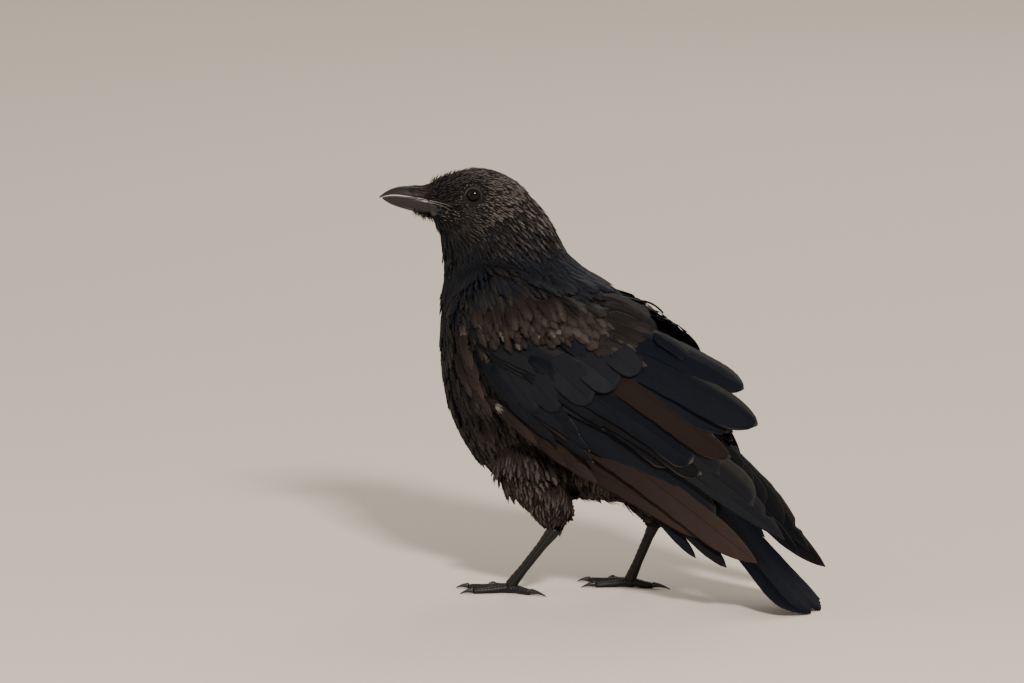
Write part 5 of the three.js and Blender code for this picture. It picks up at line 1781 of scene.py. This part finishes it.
skin = build_skin()
settle(skin, "plumage", *FLESH)
skin_tree = BVHTree.FromPolygons([v.co for v in skin.data.vertices], [tuple(p.vertices) for p in skin.data.polygons])
for coat in dress_skin(skin):
    settle(coat, "plumage")
for name, wing in WINGS.items():
    quills = flight_feathers(wing).piece(f"wing_{name}_flight_feathers", VANE)
    settle(quills, "flight_feathers", f"wing_{name}_primaries", f"wing_{name}_tertials")
    settle(coverts(wing["side"]).piece(f"wing_{name}_coverts", VANE), "flight_feathers")
    settle(soft_wing_feathers(wing["side"]).piece(f"wing_{name}_scapulars", COAT), "plumage")
settle(white_down().piece("white_down", DOWN), "plumage")
settle(tail_feathers().piece("tail_feathers", VANE), "flight_feathers", "tail")
settle(bill_half(UPPER_BILL, True).piece("upper_bill", HORN), "bill", "bill_upper")
settle(jaw_plates(skin_tree, bill_half(LOWER_BILL, False)).piece("lower_bill", HORN), "bill", "bill_lower")
settle(bristles().piece("bristles", COAT), "plumage")
settle(gape(skin_tree).piece("gape", LID), "plumage")
for name, side in (("left", LEFT), ("right", RIGHT)):
    settle(eyeball(side).piece(f"eyeball_{name}", EYE_WET), "eye", f"eye_{name}")
    settle(eyelids(side, skin_tree).piece(f"eyelids_{name}", LID), "plumage")
for name, leg in LEGS.items():
    settle(shank(leg).piece(f"scaled_shank_{name}", LEG), "leg_skin", f"shank_{name}")
    settle(foot(leg).piece(f"scaled_foot_{name}", LEG), "leg_skin", f"foot_{name}")
    settle(claws(leg).piece(f"claws_{name}", CLAW), "claw", *(f"claw_{name}_{toe}" for toe in TOES))


# ---- studio -----------------------------------------------------------------------------------

FLOOR_SIZE, FLOOR_COLOUR = 6.0, (0.68, 0.60, 0.51, 1.0)
SKY_COLOUR, SKY_STRENGTH = (0.80, 0.72, 0.64, 1.0), 0.7
LAMPS = {  # place, size, power, colour
    "key": ((2.2, -2.6, 2.5), 0.5, 215, (1.0, 0.95, 0.88)),
    "fill": ((-2.6, -2.0, 1.2), 2.5, 22, (0.92, 0.96, 1.0)),
    "rim": ((-0.6, 2.8, 2.4), 1.5, 30, (1.0, 1.0, 1.0)),
}
CAMERA_AZIMUTH, CAMERA_ELEVATION = math.radians(28), math.radians(9)
CAMERA_AIM = (-5.0, -2.7, 175.6)
CAMERA_DISTANCE, FRAME_WIDTH, SENSOR_WIDTH = 8.0, 0.727, 36.0


def look_along(way):
    """The turn of a lamp or camera that looks this way."""
    return way.to_track_quat("-Z", "Y").to_euler()


def add_floor():
    """A plain pale floor under the soles."""
    mesh = bpy.data.meshes.new("floor")
    size, low = FLOOR_SIZE, cad_box[0].z
    corners = [(-size, -size, low), (size, -size, low), (size, size, low), (-size, size, low)]
    mesh.from_pydata(corners, [], [(0, 1, 2, 3)])
    finish = Finish("pale_floor", Roughness=0.85, Base_Color=FLOOR_COLOUR)
    mesh.materials.append(finish.material)
    stand("floor", mesh)


def add_lamp(name, place, size, power, colour):
    """A soft square lamp that looks at the bird's middle."""
    light = bpy.data.lights.new(name, "AREA")
    light.size, light.energy, light.color = size, power, colour
    lamp = stand(name, light)
    lamp.location = place
    lamp.rotation_euler = look_along((cad_box[0] + cad_box[1]) / 2 - Vector(place))


def add_camera():
    """A long lens, far off, that looks a little down at the bird's left side."""
    data = bpy.data.cameras.new("camera")
    data.sensor_width = SENSOR_WIDTH
    data.lens = SENSOR_WIDTH * CAMERA_DISTANCE / FRAME_WIDTH
    camera = stand("camera", data)
    flat = math.cos(CAMERA_ELEVATION)
    back = Vector((math.sin(CAMERA_AZIMUTH) * flat, -math.cos(CAMERA_AZIMUTH) * flat, math.sin(CAMERA_ELEVATION)))
    camera.location = Vector(to_frame(CAMERA_AIM)) + back * CAMERA_DISTANCE
    camera.rotation_euler = look_along(-back)
    bpy.context.scene.camera = camera


def add_studio():
    """The floor, the camera, three lamps and a warm even sky."""
    add_floor()
    add_camera()
    for name, lamp in LAMPS.items():
        add_lamp(name, *lamp)
    world = bpy.data.worlds.new("studio")
    world.use_nodes = True
    sky = world.node_tree.nodes["Background"].inputs
    sky["Color"].default_value, sky["Strength"].default_value = SKY_COLOUR, SKY_STRENGTH
    bpy.context.scene.world = world


add_studio()
